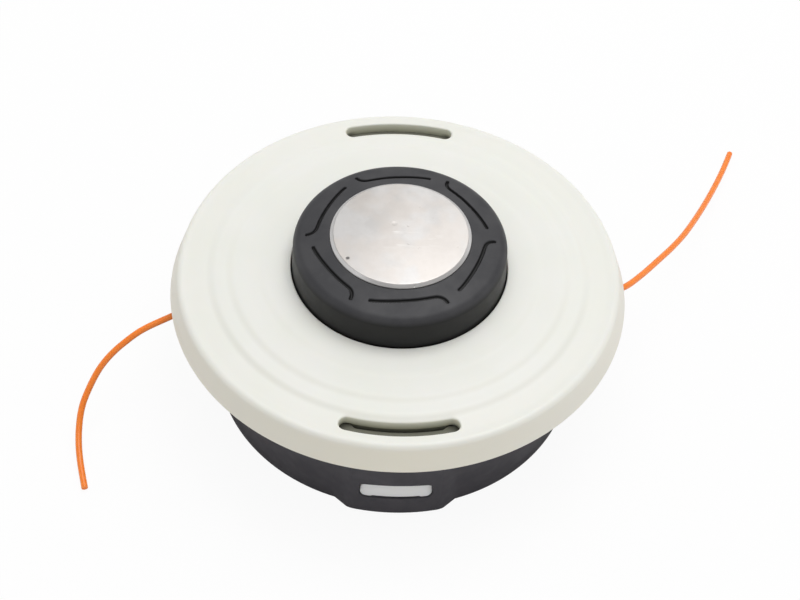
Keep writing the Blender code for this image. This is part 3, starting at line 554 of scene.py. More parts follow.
def cream_nylon():
    """Smooth moulded nylon, with painted light and shade: a warmer flank for bounced light,
    painted shade in the steps and down the slots, and hooks painted lighter.
    """
    finish = Finish("cream_nylon", roughness=0.4, subsurface_weight=0.12, subsurface_scale=0.0015)
    finish.set("Subsurface Radius", (1.0, 0.8, 0.55))
    clouds = finish.noise(22.0, 2.0)
    flecks = finish.noise(1.1, 2.0).between(0.70, 0.80)
    body = finish.mix(clouds.between(0.3, 0.7), (0.845, 0.850, 0.790), (0.860, 0.858, 0.812))
    x, y, z = finish.parts(finish.place())
    reach = (x * x + y * y) ** 0.5 / MM
    height = z / MM

    # Painted light on the flank: a warmer tone painted for light bounced up onto it, darkest
    # towards the left and lightest in the middle.
    flank = 1.0 - height.between(43.4, 45.7)
    flank_painted_bounce = finish.node("ShaderNodeValToRGB", {"stops": (
        (0.05, (0.812, 0.785, 0.690)), (0.5, (0.874, 0.838, 0.718)), (1.0, (0.845, 0.822, 0.735)),
    )}, {0: x / MM / 100.0 + 0.5})
    body = finish.mix(flank, body, flank_painted_bounce)
    body = finish.mix(flecks * 0.10, body, (0.66, 0.63, 0.52))

    # Painted shade in the steps: olive bands at their radii, mostly on the front side.
    front = 0.1 + 0.9 * (y / reach / -MM).between(-0.1, 0.8)
    for radius, step_shade in COVER_STEP_SHADE:
        body = finish.mix(front * step_shade * band(reach, radius, 1.7), body, (0.48, 0.46, 0.36))

    # Painted shade down the slots: darker with depth, darkest on the shelf, and painted nearly
    # black towards the slots' ends.
    slot = reach.between(57.6, 58.1) * (1.0 - reach.between(62.9, 63.3))
    slot *= 1.0 - (x * x / (y * y + 1e-9)).between(0.30 ** 2, 0.32 ** 2)
    slot *= height.between(SHELF_TOP - 4.0, SHELF_TOP - 3.0)
    slot *= 1.0 - height.between(44.75, 45.1)
    depth = (height - SHELF_TOP) / 3.2
    slot_painted_shade = finish.node("ShaderNodeValToRGB", {"stops": (
        (0.0, (0.17, 0.17, 0.135)), (0.04, (0.50, 0.50, 0.40)),
        (0.4, (0.70, 0.70, 0.58)), (0.8, (0.84, 0.84, 0.73)),
    )}, {0: depth})
    ends = ((x * x) ** 0.5 / MM).between(13.2, 17.0) * (1.0 - depth.between(0.05, 0.5))
    slot_painted_shade = finish.mix(0.6 * ends, slot_painted_shade, (0.02, 0.02, 0.016))
    body = finish.mix(slot, body, slot_painted_shade)

    # Hooks painted lighter than the rest of the cover, a painted highlight for the light they
    # catch.
    hook = (1.0 - height.between(17.0, 18.0)) * height.between(10.0, 10.6)
    finish.set("Base Color", finish.mix(hook, body, (0.95, 0.95, 0.935)))
    finish.set("Roughness", 0.36 + 0.10 * finish.noise(6.0))
    skin = finish.noise(0.35, 2.0)
    finish.set("Normal", finish.relief(skin, 0.02, 0.35))
    return finish.material


def black_nylon(name, dark, light, roughness, scuff, shine, shade=None):
    """Black moulded nylon with a fine grain, dull patches and pale rubbed flecks.

    shade(finish) may give painted shade: where the colour stays, 1, and where it is painted nearly
    black for shade, 0.
    """
    finish = Finish(name, specular_IOR_Level=shine)
    patches = finish.noise(9.0, 3.0).between(0.35, 0.68)
    rubbed = finish.noise(2.2, 5.0, 0.7).between(0.62, 0.78)
    body = finish.mix(patches, dark, light)
    body = finish.mix(rubbed * scuff, body, (0.16, 0.155, 0.15))
    if shade:
        # Painted shade: nearly black where shade(finish) is 0.
        body = finish.mix(shade(finish), (0.010, 0.010, 0.010), body)
    finish.set("Base Color", body)
    finish.set("Roughness", roughness + 0.12 * finish.noise(3.0) - 0.06 * patches)
    grain = finish.noise(0.45, 3.0, 0.6)
    finish.set("Normal", finish.relief(grain, 0.03, 0.5))
    return finish.material


def knob_painted_shade(finish):
    """Painted shade for the knob: 1 on its face, 0 in its grooves and down its side, which are
    painted nearly black.
    """
    x, y, z = finish.parts(finish.place())
    reach = (x * x + y * y) ** 0.5 / MM
    sunk = knob_height(reach) - z / MM
    groove = sunk.between(0.1, 0.4) * (1.0 - reach.between(28.6, 29.2))
    side = sunk.between(0.5, 2.4)
    return (1.0 - groove) * (1.0 - side)


def turned_steel():
    """Dull turned steel: clouded tone, faint rings, small dents, a centre mark and a nick."""
    finish = Finish("turned_steel", metallic=1.0)
    where = finish.place()
    x, y, _ = finish.parts(where)
    reach = (x * x + y * y) ** 0.5 / MM
    clouds = finish.noise(7.0, 4.0, 0.6, where).between(0.35, 0.66)
    warmth = finish.noise(11.0, 2.0, 0.5, where).between(0.42, 0.60)
    body = finish.mix(clouds, (0.645, 0.628, 0.614), (0.722, 0.708, 0.697))
    body = finish.mix(warmth * 0.32, body, (0.73, 0.65, 0.58))
    across = finish.node(
        "ShaderNodeVectorMath", {"operation": "MULTIPLY"}, {0: where, 1: (0.35, 1.5, 1.0)},
    )
    scuffs = finish.noise(2.6, 2.0, 0.5, across).between(0.56, 0.66)
    scuffs *= band(y / MM, -2.0, 6.0) * band(x / MM, -1.0, 16.0)
    body = finish.mix(scuffs * 0.8, body, (0.86, 0.85, 0.83))
    # Darker towards the left.
    left_darkening = (x / MM + 9.0 * finish.noise(8.0, 3.0, 0.5, where)).between(-14.0, 12.0)
    body = finish.mix(left_darkening, finish.mix(0.17, body, (0.02, 0.02, 0.02)), body)
    # The bevel is painted: a painted highlight round its back and painted shade towards its front.
    bevel = reach.between(DISC_RADIUS - DISC_BEVEL, DISC_RADIUS - DISC_BEVEL + 0.3)
    shaded = ((0.35 * x - 0.94 * y) / MM / reach).between(0.5, 0.85)
    body = finish.mix(bevel, body, finish.mix(shaded, (0.84, 0.83, 0.82), (0.53, 0.52, 0.51)))
    nick = spot(x, y, -15.6, -10.5, 0.35, 0.75)
    centre = spot(x, y, -1.9, 3.0, 0.3, 1.1)
    body = finish.mix(nick * 0.85, body, (0.10, 0.10, 0.10))
    pits = finish.noise(1.6, 2.0, 0.5, where).between(0.72, 0.80)
    finish.set("Base Color", finish.mix(pits * 0.25, body, (0.42, 0.38, 0.35)))
    finish.set("Roughness", 0.40 + 0.16 * finish.noise(2.5, 4.0, 0.6, where) + 0.1 * clouds)
    rings = finish.node("ShaderNodeMath", {"operation": "SINE"}, {0: reach * 21.0})
    dents = finish.noise(3.4, 3.0, 0.5, where)
    relief = finish.relief(rings, 0.002, 0.5)
    relief = finish.relief(dents, 0.10, 0.35, relief)
    relief = finish.relief(pits + centre * 0.7 + nick, -0.12, 0.6, relief)
    finish.set("Normal", relief)
    return finish.material


def band(value, middle, half):
    """1 at the middle, fading to 0 at half a width to either side."""
    return value.between(middle - half, middle) * (1.0 - value.between(middle, middle + half))


def spot(x, y, at_x, at_y, inner, outer):
    """1 inside a small round spot, 0 outside it, with sizes in millimetres."""
    aside = x / MM - at_x
    along = y / MM - at_y
    return 1.0 - ((aside * aside + along * along) ** 0.5).between(inner, outer)


def plated_steel(name, colour, roughness):
    """Zinc plating with a slight bloom."""
    finish = Finish(name, metallic=1.0)
    bloom = finish.noise(3.0, 4.0, 0.6).between(0.3, 0.75)
    dull = tuple(0.82 * part for part in colour)
    finish.set("Base Color", finish.mix(bloom, colour, dull))
    finish.set("Roughness", roughness + 0.18 * bloom)
    finish.set("Normal", finish.relief(finish.noise(0.6), 0.01, 0.4))
    return finish.material


def orange_nylon():
    """Extruded nylon line: clear bright orange with faint bands along it."""
    finish = Finish("orange_nylon", subsurface_weight=0.15, subsurface_scale=0.0008)
    finish.set("Subsurface Radius", (1.0, 0.45, 0.15))
    bands = finish.noise(3.0, 2.0)
    finish.set("Base Color", finish.mix(bands, (1.0, 0.235, 0.022), (1.0, 0.275, 0.036)))
    finish.set("Roughness", 0.26 + 0.12 * finish.noise(1.2))
    finish.set("Normal", finish.relief(finish.noise(0.5), 0.01, 0.5))
    return finish.material


def dress(piece, material, slot, *nodes):
    """Give a piece its material and hide the CAD nodes it stands for."""
    piece.data.materials.clear()
    piece.data.materials.append(material)
    if nodes:
        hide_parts(*nodes)
    return piece


# ---- housing -----------------------------------------------------------------------------


def wall_radius(height):
    """The tapered outer wall's radius at a height."""
    return FOOT_RADIUS + (MOUTH_RADIUS - FOOT_RADIUS) * height / HOUSING_HEIGHT


def lug_radius(from_axis):
    """The catch lug in plan, at degrees from its middle: an arc face between slanting flanks."""
    face = np.array(polar(LUG_FACE_RADIUS, LUG_FACE_ANGLE)[:2])
    base = np.array(polar(FOOT_RADIUS - 0.15, LUG_BASE_ANGLE)[:2])
    along = base - face
    across = np.array([-along[1], along[0]])
    level = across @ face
    turn = np.radians(np.clip(from_axis, 0.0, 45.0))
    flank = level / (across[0] * np.cos(turn) + across[1] * np.sin(turn))
    return soft_min(np.full_like(turn, LUG_FACE_RADIUS), flank, 0.5)


def housing_shape(radius, height, angles):
    """Raise the two lugs out of the outer wall."""
    if radius < FOOT_RADIUS - 0.2 or height < LUG_BOTTOM:
        return radius, height
    degrees = np.degrees(angles)
    from_axis = np.minimum(np.abs(degrees - 90.0), np.abs(degrees - 270.0))
    chamfer = LUG_FACE_RADIUS - 0.8 + (height - LUG_BOTTOM)
    lug = np.minimum(lug_radius(from_axis), chamfer)
    return soft_max(radius, lug, 0.5), height


def housing_turns():
    """Angles round the housing, closer together along the lugs' flanks."""
    fine = np.arange(11.0, 23.0, 0.25)
    groups = [np.arange(0.0, 360.0, 1.5)]
    for axis in (90.0, 270.0):
        groups += [axis + fine, axis - fine]
    return np.unique(np.round(np.concatenate(groups) % 360.0, 3))


def make_housing(material):
    """A tapered shell with hub, nut pocket, collar, ribs, floor teeth, lugs and outlets."""
    inner_floor = wall_radius(FLOOR_TOP) - HOUSING_WALL
    foot_inner = FOOT_RADIUS - HOUSING_WALL
    lower = rounded((
        (foot_inner + 0.6, 0.0), (FOOT_RADIUS, 0.0, 1.0), (wall_radius(2.1), 2.1),
    ))[1:-1]
    heights = [2.1, 2.19, 2.2, 2.3, 2.5, 2.8, 3.05, 3.3, 4.0]    # closer where the lugs start
    heights += list(np.arange(6.0, 41.0, 2.5)) + [41.5]
    wall = [(wall_radius(height), height) for height in heights]
    rest = rounded((
        (wall_radius(41.5), 41.5),
        (MOUTH_RADIUS, HOUSING_HEIGHT, 0.3),
        (MOUTH_RADIUS - HOUSING_WALL, HOUSING_HEIGHT, 0.3),
        (inner_floor, FLOOR_TOP, 1.5),
        (COLLAR_RADIUS, FLOOR_TOP, 0.8),
        (COLLAR_RADIUS, COLLAR_TOP, 0.8),
        (COLLAR_BORE, COLLAR_TOP, 0.4),
        (COLLAR_BORE, NUT_POCKET_TOP),
        (SHAFT_HOLE_RADIUS, NUT_POCKET_TOP),
        (SHAFT_HOLE_RADIUS, 0.0, 0.5),
        (HUB_RADIUS, 0.0, 0.6),
        (HUB_RADIUS - 0.2, FLOOR_BOTTOM, 1.2),
        (foot_inner, FLOOR_BOTTOM, 1.2),
        (foot_inner, 0.0, 0.5),
        (foot_inner + 0.6, 0.0),
    ), steps=5)[1:]
    outline = lower + wall + rest
    piece = lathe("housing_shell", outline, turns=housing_turns(), shape=housing_shape)

    joined = [rib_sections(360.0 * (rib + 0.5) / RIB_COUNT) for rib in range(RIB_COUNT)]
    levels = ((FLOOR_TOP - 0.3, 0.0), (FLOOR_TEETH_TOP - 0.3, 0.0), (FLOOR_TEETH_TOP, -0.3))
    joined += teeth(FLOOR_TEETH, levels)
    work(piece, "UNION", solids("ribs_and_teeth", joined))

    levels = ((FLOOR_TOP + 1.0, 0.0), (HOUSING_HEIGHT + 1.0, 0.0))
    pockets = [
        arc_plate(side, TAB_ANGLE + 0.3, POCKET_INNER, POCKET_OUTER, levels, 0.8)
        for side in CATCH_SIDES
    ]
    work(piece, "DIFFERENCE", solids("pockets", pockets))

    openings = []
    levels = ((SHELF_TOP - 1.9, 0.0), (HOUSING_HEIGHT + 1.0, 0.0))
    outer = LUG_FACE_RADIUS + 1.0
    for side in CATCH_SIDES:
        openings.append(window_sections(side))
        openings.append(arc_plate(side, SHELF_ANGLE + 0.3, POCKET_INNER, outer, levels, 0.8))
    openings.append(hexagon(NUT_HALF_FLATS + SEAT_GAP, HUB_SEAT, NUT_POCKET_TOP + SEAT_GAP))
    for side in (0.0, 180.0):
        along = np.array(polar(1.0, side + OUTLET_ANGLE))
        lift = np.array((0.0, 0.0, OUTLET_HEIGHT))
        ends = [along * reach + lift for reach in OUTLET_REACH]
        openings.append(tube_sections(ends, OUTLET_RADIUS, 48))
    work(piece, "DIFFERENCE", solids("openings", openings))
    return dress(piece, material, "housing", "housing")


def teeth(radii, levels):
    """Sections of a ring of ratchet teeth."""
    return [
        arc_plate(360.0 * tooth / TOOTH_COUNT, TOOTH_HALF_ANGLE, *radii, levels, steps=3)
        for tooth in range(TOOTH_COUNT)
    ]


def hexagon(half_flats, low, high):
    """Sections of an upright hexagonal bar."""
    corners = [polar(half_flats / math.cos(math.pi / 6), 60.0 * corner) for corner in range(6)]
    return [[(x, y, height) for x, y, _ in corners] for height in (low, high)]


def rib_sections(angle):
    """A drafted rib with a rounded edge, flaring where it meets the floor."""
    cos, sin = math.cos(math.radians(angle)), math.sin(math.radians(angle))
    near, far = RIB_ENDS
    sections = []
    for height, half in RIB_LEVELS:
        corners = ((near, -half), (far, -half), (far, half), (near, half))
        sections.append([(x * cos - y * sin, x * sin + y * cos, height) for x, y in corners])
    return sections


# ---- cover -------------------------------------------------------------------------------


def cover_height(radius):
    """The cover's face: soft steps on a gentle fall, and a land that rises to the rim."""
    height = COVER_TOP - COVER_FALL * (radius - COVER_HOLE)
    for middle, drop, width in COVER_STEPS:
        height -= drop * float(smoothstep(middle - width / 2, middle + width / 2, radius))
    start, end, rise = COVER_LAND
    return height + rise * float(smoothstep(start, end, radius))


def make_cover(material):
    """A stepped face with its skirt, spigot, tabs, teeth, hooks, slots and the lips below them."""
    start = COVER_FACE_START
    face = [(radius, cover_height(radius)) for radius in np.arange(start, 65.1, 0.4)]
    last_radius, last_height = face[-1]
    slope = (face[-2][1] - last_height) / (last_radius - face[-2][0])
    corner_height = last_height - slope * (FLANK_TOP_RADIUS - last_radius)
    inner = FLANK_TOP_RADIUS - SKIRT_WALL
    edge = rounded((
        (COVER_HOLE, COVER_UNDERSIDE),
        (COVER_HOLE, COVER_TOP, 0.35),
        (start, cover_height(start)),
    ))[1:-1]
    rim = rounded((
        face[-1],
        (FLANK_TOP_RADIUS, corner_height, 2.0),
        (COVER_RADIUS, COVER_BOTTOM, 0.4),
        (COVER_RADIUS - SKIRT_WALL, COVER_BOTTOM, 0.4),
        (inner, COVER_LEDGE - 1.4, 1.0),
        (inner - 3.0, COVER_LEDGE),
        (SPIGOT_OUTER, COVER_LEDGE),
        (SPIGOT_OUTER, SPIGOT_BOTTOM, 0.4),
        (SPIGOT_INNER, SPIGOT_BOTTOM, 0.4),
        (SPIGOT_INNER, COVER_UNDERSIDE, 0.6),
        (COVER_HOLE, COVER_UNDERSIDE),
    ), steps=9)[1:]
    piece = lathe("cover_disc", edge + face + rim, sides=360)

    levels = ((9.2, -0.5), (9.7, 0.0), (COVER_LEDGE + 0.3, 0.0))
    joined = [
        arc_plate(side, TAB_ANGLE, TAB_OUTER - 2.0, TAB_OUTER, levels, 0.6)
        for side in CATCH_SIDES
    ]
    levels = ((KNOB_BOTTOM, -0.3), (KNOB_BOTTOM + 0.3, 0.0), (COVER_UNDERSIDE + 0.3, 0.0))
    joined += teeth(COVER_TEETH, levels)
    work(piece, "UNION", solids("tabs_and_teeth", joined))

    hooks = [hook_sections(side) for side in CATCH_SIDES]
    work(piece, "UNION", solids("hooks", hooks))

    lip = cover_height((SLOT_INNER + SLOT_OUTER) / 2)
    levels = (
        (COVER_LEDGE - 1.0, 0.0), (lip - 0.55, 0.0), (lip - 0.34, 0.05), (lip - 0.16, 0.17),
        (lip - 0.04, 0.36), (lip + 0.05, 0.62), (lip + 1.0, 3.0),
    )
    slots = [
        arc_plate(side, SLOT_ANGLE, SLOT_INNER, SLOT_OUTER, levels, 2.2) for side in CATCH_SIDES
    ]
    work(piece, "DIFFERENCE", solids("slots", slots))

    shelves = [shelf_sections(side) for side in CATCH_SIDES]
    work(piece, "UNION", solids("shelves", shelves))
    return dress(piece, material, "cover", "cover")


def hook_sections(side):
    """The hook that fills a window. Its face leans in, one end slants and its edge has a nick."""
    half = math.radians(WINDOW_ANGLE) * LUG_FACE_RADIUS - HOOK_GAP
    sections = []
    for radius, grow in ((57.5, 0.0), (60.1, 0.0), (60.25, -0.06), (60.3, -0.15)):
        section = []
        for along, height, rise in window_loop(HOOK_GAP, grow):
            if rise > 0.5:
                height -= 0.5 * math.exp(-((along + 7.7) / 0.35) ** 2)
            else:
                height += 0.28 * float(smoothstep(7.6, 6.9, abs(along)))
            slant = 0.9 * float(smoothstep(-half + 2.2, -half, along))
            along += slant * float(smoothstep(0.5, 1.0, rise))
            angle = side + math.degrees(along / LUG_FACE_RADIUS)
            section.append(polar(radius - HOOK_LEAN * (height - WINDOW_BOTTOM), angle, height))
        sections.append(section)
    return sections


def shelf_sections(side):
    """The ledge below a slot's outer edge. Its two ends reach a little further in."""
    levels = (
        (SHELF_TOP - 1.6, 0.0), (SHELF_TOP - 0.35, 0.0),
        (SHELF_TOP - 0.1, -0.1), (SHELF_TOP, -0.35),
    )
    sections = []
    for plain in arc_plate(side, SHELF_ANGLE, SHELF_INNER, SHELF_OUTER, levels, 0.6):
        section = []
        for x, y, height in plain:
            radius = math.hypot(x, y)
            turned = math.degrees(math.atan2(y, x)) - side
            ear = SHELF_EAR * float(smoothstep(12.5, 13.6, abs(turned)))
            ear *= 1.0 - float(smoothstep(60.0, 62.0, radius))
            section.append(polar(radius - ear, side + turned, height))
        sections.append(section)
    return sections


# ---- knob and wear disc ------------------------------------------------------------------


def knob_height(radius):
    """The height of the knob's sloping face."""
    return KNOB_TOP - KNOB_SLOPE * (radius - DISC_RADIUS)


def groove_centreline():
    """The middle of one hooked groove, as x and y."""
    path, _ = smooth_curve([(*point, 0.0) for point in GROOVE_PATH], 0.6)
    turn = np.radians(GROOVE_START + path[:, 0])
    return np.stack([path[:, 1] * np.cos(turn), path[:, 1] * np.sin(turn)], 1)


def knob_shape_maker():
    """A shape for lathe that sinks the grooves into the knob's face."""
    line = groove_centreline()

    def shape(radius, height, angles):
        """Lower what lies near a groove's middle, with softly rounded edges."""
        if height < KNOB_TOP - 3.0 or not 22.5 < radius < 30.5:
            return radius, height
        nearest = np.full(len(angles), 99.0)
        points = np.stack([radius * np.cos(angles), radius * np.sin(angles)], 1)
        for copy in range(GROOVE_COUNT):
            turn = math.tau * copy / GROOVE_COUNT
            cos, sin = math.cos(turn), math.sin(turn)
            turned = line @ np.array([[cos, sin], [-sin, cos]])
            for start, end in zip(turned, turned[1:]):
                along = end - start
                share = np.clip((points - start) @ along / (along @ along), 0.0, 1.0)
                gap = np.linalg.norm(points - start - share[:, None] * along, axis=1)
                nearest = np.minimum(nearest, gap)
        half = GROOVE_WIDTH / 2
        sunk = GROOVE_DEPTH * (1.0 - smoothstep(half - 0.32, half + 0.12, nearest))
        return radius, height - sunk

    return shape


def make_knob(material):
    """A hollow knob with a grooved conical face round the disc's seat."""
    seat = DISC_RADIUS + DISC_GAP
    shoulder_height = knob_height(KNOB_SHOULDER)
    near, far = KNOB_FACE
    seat_edge = rounded((
        (seat, SEAT_FLOOR), (seat, knob_height(seat), 0.12), (near, knob_height(near)),
    ), steps=4)[1:-1]
    face = [(radius, knob_height(radius)) for radius in np.arange(near, far, 0.14)]
    side = rounded((
        (29.0, knob_height(29.0)),
        (KNOB_SHOULDER, shoulder_height, KNOB_FILLET),
        (KNOB_RADIUS, COVER_TOP - 0.5),
    ), steps=12)[1:]
    inside = rounded((
        (KNOB_RADIUS, COVER_TOP - 0.5),
        (KNOB_RADIUS, KNOB_BOTTOM, 0.3),
        (KNOB_RADIUS - KNOB_WALL, KNOB_BOTTOM, 0.3),
        (KNOB_SHOULDER - KNOB_WALL, KNOB_CEILING, 1.5),
        (KNOB_BOSS_RADIUS, KNOB_CEILING, 0.8),
        (KNOB_BOSS_RADIUS, KNOB_BOTTOM, 0.4),
        (STUD_RADIUS + SEAT_GAP, KNOB_BOTTOM),
        (STUD_RADIUS + SEAT_GAP, SEAT_FLOOR),
        (seat, SEAT_FLOOR),
    ), steps=4)[1:]
    outline = [point for point in seat_edge + face if point[0] < 29.2] + side + inside
    piece = lathe("knob_body", outline, sides=720, shape=knob_shape_maker())
    return dress(piece, material, "knob", "knob_ring")


def make_wear_disc(material):
    """A crowned disc with a bevelled edge and its stud, turned in one piece."""
    crown = (DISC_RADIUS ** 2 + DISC_CROWN ** 2) / (2 * DISC_CROWN)

    def top_height(radius):
        return DISC_EDGE + DISC_CROWN - crown + math.sqrt(crown ** 2 - radius ** 2)

    start = DISC_RADIUS - DISC_BEVEL
    top = [(radius, top_height(radius)) for radius in np.linspace(start - 0.8, 0.0, 22)]
    outline = [(0.0, STUD_END)] + rounded((
        (0.0, STUD_END),
        (STUD_RADIUS, STUD_END, 0.5),
        (STUD_RADIUS, DISC_UNDERSIDE, 0.25),
        (DISC_RADIUS, DISC_UNDERSIDE, 0.3),
        (DISC_RADIUS, KNOB_TOP + 0.25, 0.15),
        (start, top_height(start), 0.5),
        top[0],
    ), steps=6)[1:-1] + top
    piece = lathe("wear_disc_turned", outline, sides=256)
    return dress(piece, material, "wear_steel", "wear_disc")


# ---- inner metal -------------------------------------------------------------------------


def make_sleeve(name, side, material, node):
    """A flanged sleeve with flared mouths, set in its outlet."""
    wall = wall_radius(OUTLET_HEIGHT)
    inside, seat, face = wall - 3.3, wall + 0.3, wall + 1.5
    outline = rounded((
        (SLEEVE_BORE, inside, 0.4),
        (SLEEVE_RADIUS, inside, 0.2),
        (SLEEVE_RADIUS, seat, 0.1),
        (SLEEVE_FLANGE, seat, 0.2),
        (SLEEVE_FLANGE, face, 0.4),
        (SLEEVE_BORE, face, 0.9),
    ), steps=6, guard=0.1)
    piece = lathe(name, outline, sides=64)
    turn = Matrix.Rotation(math.radians(side + OUTLET_ANGLE), 4, "Z")
    tip = Matrix.Rotation(math.radians(90.0), 4, "Y")
    lift = Matrix.Translation((0.0, 0.0, OUTLET_HEIGHT * MM))
    piece.data.transform(lift @ turn @ tip)
    return dress(piece, material, "plated_steel", node)


def make_spring(material):
    """The bump spring, its end turns closed and ground flat."""
    low, high = SPRING_LOW, SPRING_HIGH
    closed = SPRING_WIRE + 0.3
    free = (high - low - SPRING_WIRE - 2 * closed) / (SPRING_TURNS - 2.0)
    turned = np.linspace(0.0, 1.0, round(SPRING_TURNS * 40) + 1) * SPRING_TURNS
    rise = closed * np.minimum(turned, 1.0)
    rise += closed * np.maximum(turned - SPRING_TURNS + 1.0, 0.0)
    rise += free * np.clip(turned - 1.0, 0.0, SPRING_TURNS - 2.0)
    angle = turned * math.tau
    path = np.stack([
        SPRING_RADIUS * np.cos(angle), SPRING_RADIUS * np.sin(angle), low + SPRING_WIRE / 2 + rise,
    ], 1)
    piece = solids("bump_spring_coil", [tube_sections(path, SPRING_WIRE / 2, 14)], crease=60.0)
    dress(piece, material, "spring_steel", "bump_spring")
    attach(piece, "housing_body")
    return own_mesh(piece)


def make_shaft_nut(material):
    """A hexagon nut with chamfered corners and a cut thread."""
    low, high = NUT_LOW, NUT_HIGH
    piece = solids("shaft_nut_threaded", [hexagon(NUT_HALF_FLATS, low, high)])
    chamfer = lathe("nut_chamfer", [
        (0.0, low), (9.6, low), (11.2, low + 0.9), (11.2, high - 0.9), (9.6, high), (0.0, high),
    ], sides=96)
    work(piece, "INTERSECT", chamfer)

    def thread(radius, height, angles):
        """A helical groove round the bore, flared at both mouths."""
        phase = (height / THREAD_PITCH + angles / math.tau) % 1.0
        off_crest = np.abs(phase - 0.5) * 2.0
        groove = np.clip(off_crest * 1.2 - 0.1, 0.0, 1.0)
        flare = max(0.0, low + 0.7 - height, height - high + 0.7)
        return radius + THREAD_DEPTH * groove + flare, height

    rows = np.arange(low - 0.9, high + 0.95, THREAD_PITCH / 8)
    outline = [(0.0, rows[0])] + [(NUT_BORE, row) for row in rows] + [(0.0, rows[-1])]
    work(piece, "DIFFERENCE", lathe("nut_thread", outline, sides=64, shape=thread))
    return dress(piece, material, "plated_steel", "shaft_nut")


# ---- lines -------------------------------------------------------------------------------


def make_line(side, material):
    """A free line from the winding through its sleeve to its cut end."""
    points, length = smooth_curve(LINE_ROUTES[side], 1.2)
    name = "cut_line_" + side
    curve = bpy.data.curves.new(name, "CURVE")
    curve.dimensions = "3D"
    curve.bevel_depth = LINE_DIAMETER / 2 * MM
    curve.bevel_resolution = 5
    curve.use_fill_caps = True
    spline = curve.splines.new("POLY")
    spline.points.add(len(points) - 1)
    for control, point in zip(spline.points, points * MM):
        control.co = (*point, 1.0)
    spline.use_smooth = True
    piece = bpy.data.objects.new(name, curve)
    bpy.context.scene.collection.objects.link(piece)
    dress(piece, material, "line", "line_" + side)
    return piece


# ---- stage -------------------------------------------------------------------------------


def make_floor():
    """A wide white floor. To the camera it is mostly plain white, and keeps a faint shadow."""
    mesh = bpy.data.meshes.new("floor")
    reach = 4.0
    mesh.from_pydata(
        [(-reach, -reach, 0.0), (reach, -reach, 0.0), (reach, reach, 0.0), (-reach, reach, 0.0)],
        [], [(0, 1, 2, 3)],
    )
    floor = bpy.data.objects.new("floor", mesh)
    bpy.context.scene.collection.objects.link(floor)
    finish = Finish("floor_white", roughness=1.0)
    finish.set("Base Color", (0.92, 0.92, 0.92, 1.0))
    finish.set("Specular IOR Level", 0.0)
    tree = finish.tree
    white = (1.0, 1.0, 1.0, 1.0)
    seen = finish.node("ShaderNodeLightPath", output="Is Camera Ray")
    glow = finish.node("ShaderNodeEmission", None, {"Color": white, "Strength": 1.0})
    own = Signal(finish, finish.shader.outputs[0])
    shown = finish.node("ShaderNodeMixShader", None, {0: seen * FLOOR_GLOW, 1: own, 2: glow})
    tree.links.new(shown.socket, tree.nodes["Material Output"].inputs[0])
    mesh.materials.append(finish.material)


def make_world():
    """Even light from all round, and a white backdrop for the camera."""
    world = bpy.data.worlds.new("studio")
    bpy.context.scene.world = world
    world.use_nodes = True
    tree = world.node_tree
    plain = tree.nodes["Background"]
    plain.inputs["Color"].default_value = (1.0, 1.0, 1.0, 1.0)
    plain.inputs["Strength"].default_value = WORLD_LIGHT
    white = tree.nodes.new("ShaderNodeBackground")
    white.inputs["Color"].default_value = (1.0, 1.0, 1.0, 1.0)
    white.inputs["Strength"].default_value = 1.0
    path = tree.nodes.new("ShaderNodeLightPath")
    mixed = tree.nodes.new("ShaderNodeMixShader")
    tree.links.new(path.outputs["Is Camera Ray"], mixed.inputs[0])
    tree.links.new(plain.outputs[0], mixed.inputs[1])
    tree.links.new(white.outputs[0], mixed.inputs[2])
    tree.links.new(mixed.outputs[0], tree.nodes["World Output"].inputs[0])


def make_softbox(name, place, size, power):
    """A rectangular lamp that points at the head. Metres and watts."""
    lamp = bpy.data.lights.new(name, "AREA")
    lamp.shape = "RECTANGLE"
    lamp.size, lamp.size_y = size
    lamp.energy = power
    holder = bpy.data.objects.new(name, lamp)
    bpy.context.scene.collection.objects.link(holder)
    holder.location = place
    aim = Vector((0.0, 0.0, AIM_HEIGHT * MM)) - Vector(place)
    holder.rotation_euler = aim.to_track_quat("-Z", "Y").to_euler()


def make_camera():
    """The photograph's viewpoint: looking down by half a right angle, slightly rolled."""
    data = bpy.data.cameras.new("camera")
    data.sensor_width = 36.0
    data.lens = CAMERA_LENS
    data.clip_start = 0.01
    data.clip_end = 20.0
    camera = bpy.data.objects.new("camera", data)
    bpy.context.scene.collection.objects.link(camera)
    around = Matrix.Rotation(math.radians(CAMERA_TURN), 4, "Z")
    down = Matrix.Rotation(math.radians(90.0 - CAMERA_DIP), 4, "X")
    roll = Matrix.Rotation(math.radians(CAMERA_ROLL), 4, "Z")
    place = Matrix.Translation(Vector(CAMERA_PLACE) * MM)
    camera.matrix_world = place @ around @ down @ roll
    bpy.context.scene.camera = camera


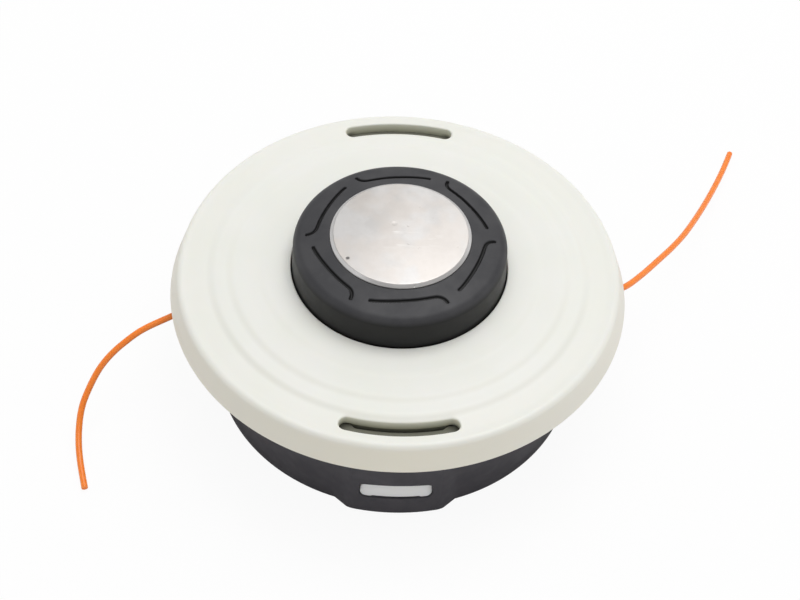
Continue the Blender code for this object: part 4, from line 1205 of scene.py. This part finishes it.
def main():
    """Make the finishes, the pieces and the stage, and dress the solids that stay."""
    bpy.context.scene.view_settings.view_transform = "Standard"
    cream = cream_nylon()
    shell_black = black_nylon(
        "shell_nylon", (0.040, 0.037, 0.045), (0.051, 0.047, 0.056),
        roughness=0.50, scuff=0.05, shine=0.5,
    )
    knob_black = black_nylon(
        "knob_nylon", (0.046, 0.046, 0.050), (0.058, 0.0575, 0.061),
        roughness=0.42, scuff=0.06, shine=0.25, shade=knob_painted_shade,
    )
    spool_black = black_nylon(
        "spool_nylon", (0.030, 0.030, 0.034), (0.040, 0.040, 0.044),
        roughness=0.50, scuff=0.03, shine=0.5,
    )
    steel = turned_steel()
    zinc = plated_steel("zinc_plate", (0.70, 0.72, 0.74), 0.28)
    wire = plated_steel("spring_wire", (0.42, 0.42, 0.44), 0.34)
    orange = orange_nylon()

    fixed = [
        make_housing(shell_black),
        make_cover(cream),
        make_shaft_nut(zinc),
        make_sleeve("sleeve_right", 0.0, zinc, "line_sleeve_right"),
        make_sleeve("sleeve_left", 180.0, zinc, "line_sleeve_left"),
        make_line("right", orange),
        make_line("left", orange),
    ]
    for piece in fixed:
        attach(piece, "housing_body")
    make_spring(wire)
    for piece in (make_knob(knob_black), make_wear_disc(steel)):
        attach(piece, "spool_body")

    solid_finishes = {
        "seat_washer": zinc, "thrust_washer": zinc, "knob_washer": zinc, "knob_nut": zinc,
        "spool": spool_black, "line_winding": orange,
    }
    for node, material in solid_finishes.items():
        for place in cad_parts[node].material_slots:
            place.material = material

    make_floor()
    make_world()
    make_softbox("softbox_top", (0.0, 0.10, 1.20), (1.0, 1.0), 6.4)
    make_softbox("softbox_high_right", (0.32, 0.28, 1.15), (0.8, 0.8), 3.2)
    make_softbox("softbox_back", (0.0, 1.0, 0.55), (1.4, 0.6), 1.6)
    make_softbox("softbox_front", (0.0, -1.0, 0.20), (1.6, 0.35), 0.8)
    make_softbox("softbox_left", (-1.0, 0.0, 0.22), (1.2, 0.4), 0.95)
    make_softbox("softbox_right", (1.0, 0.0, 0.22), (1.2, 0.4), 1.25)
    make_camera()


main()
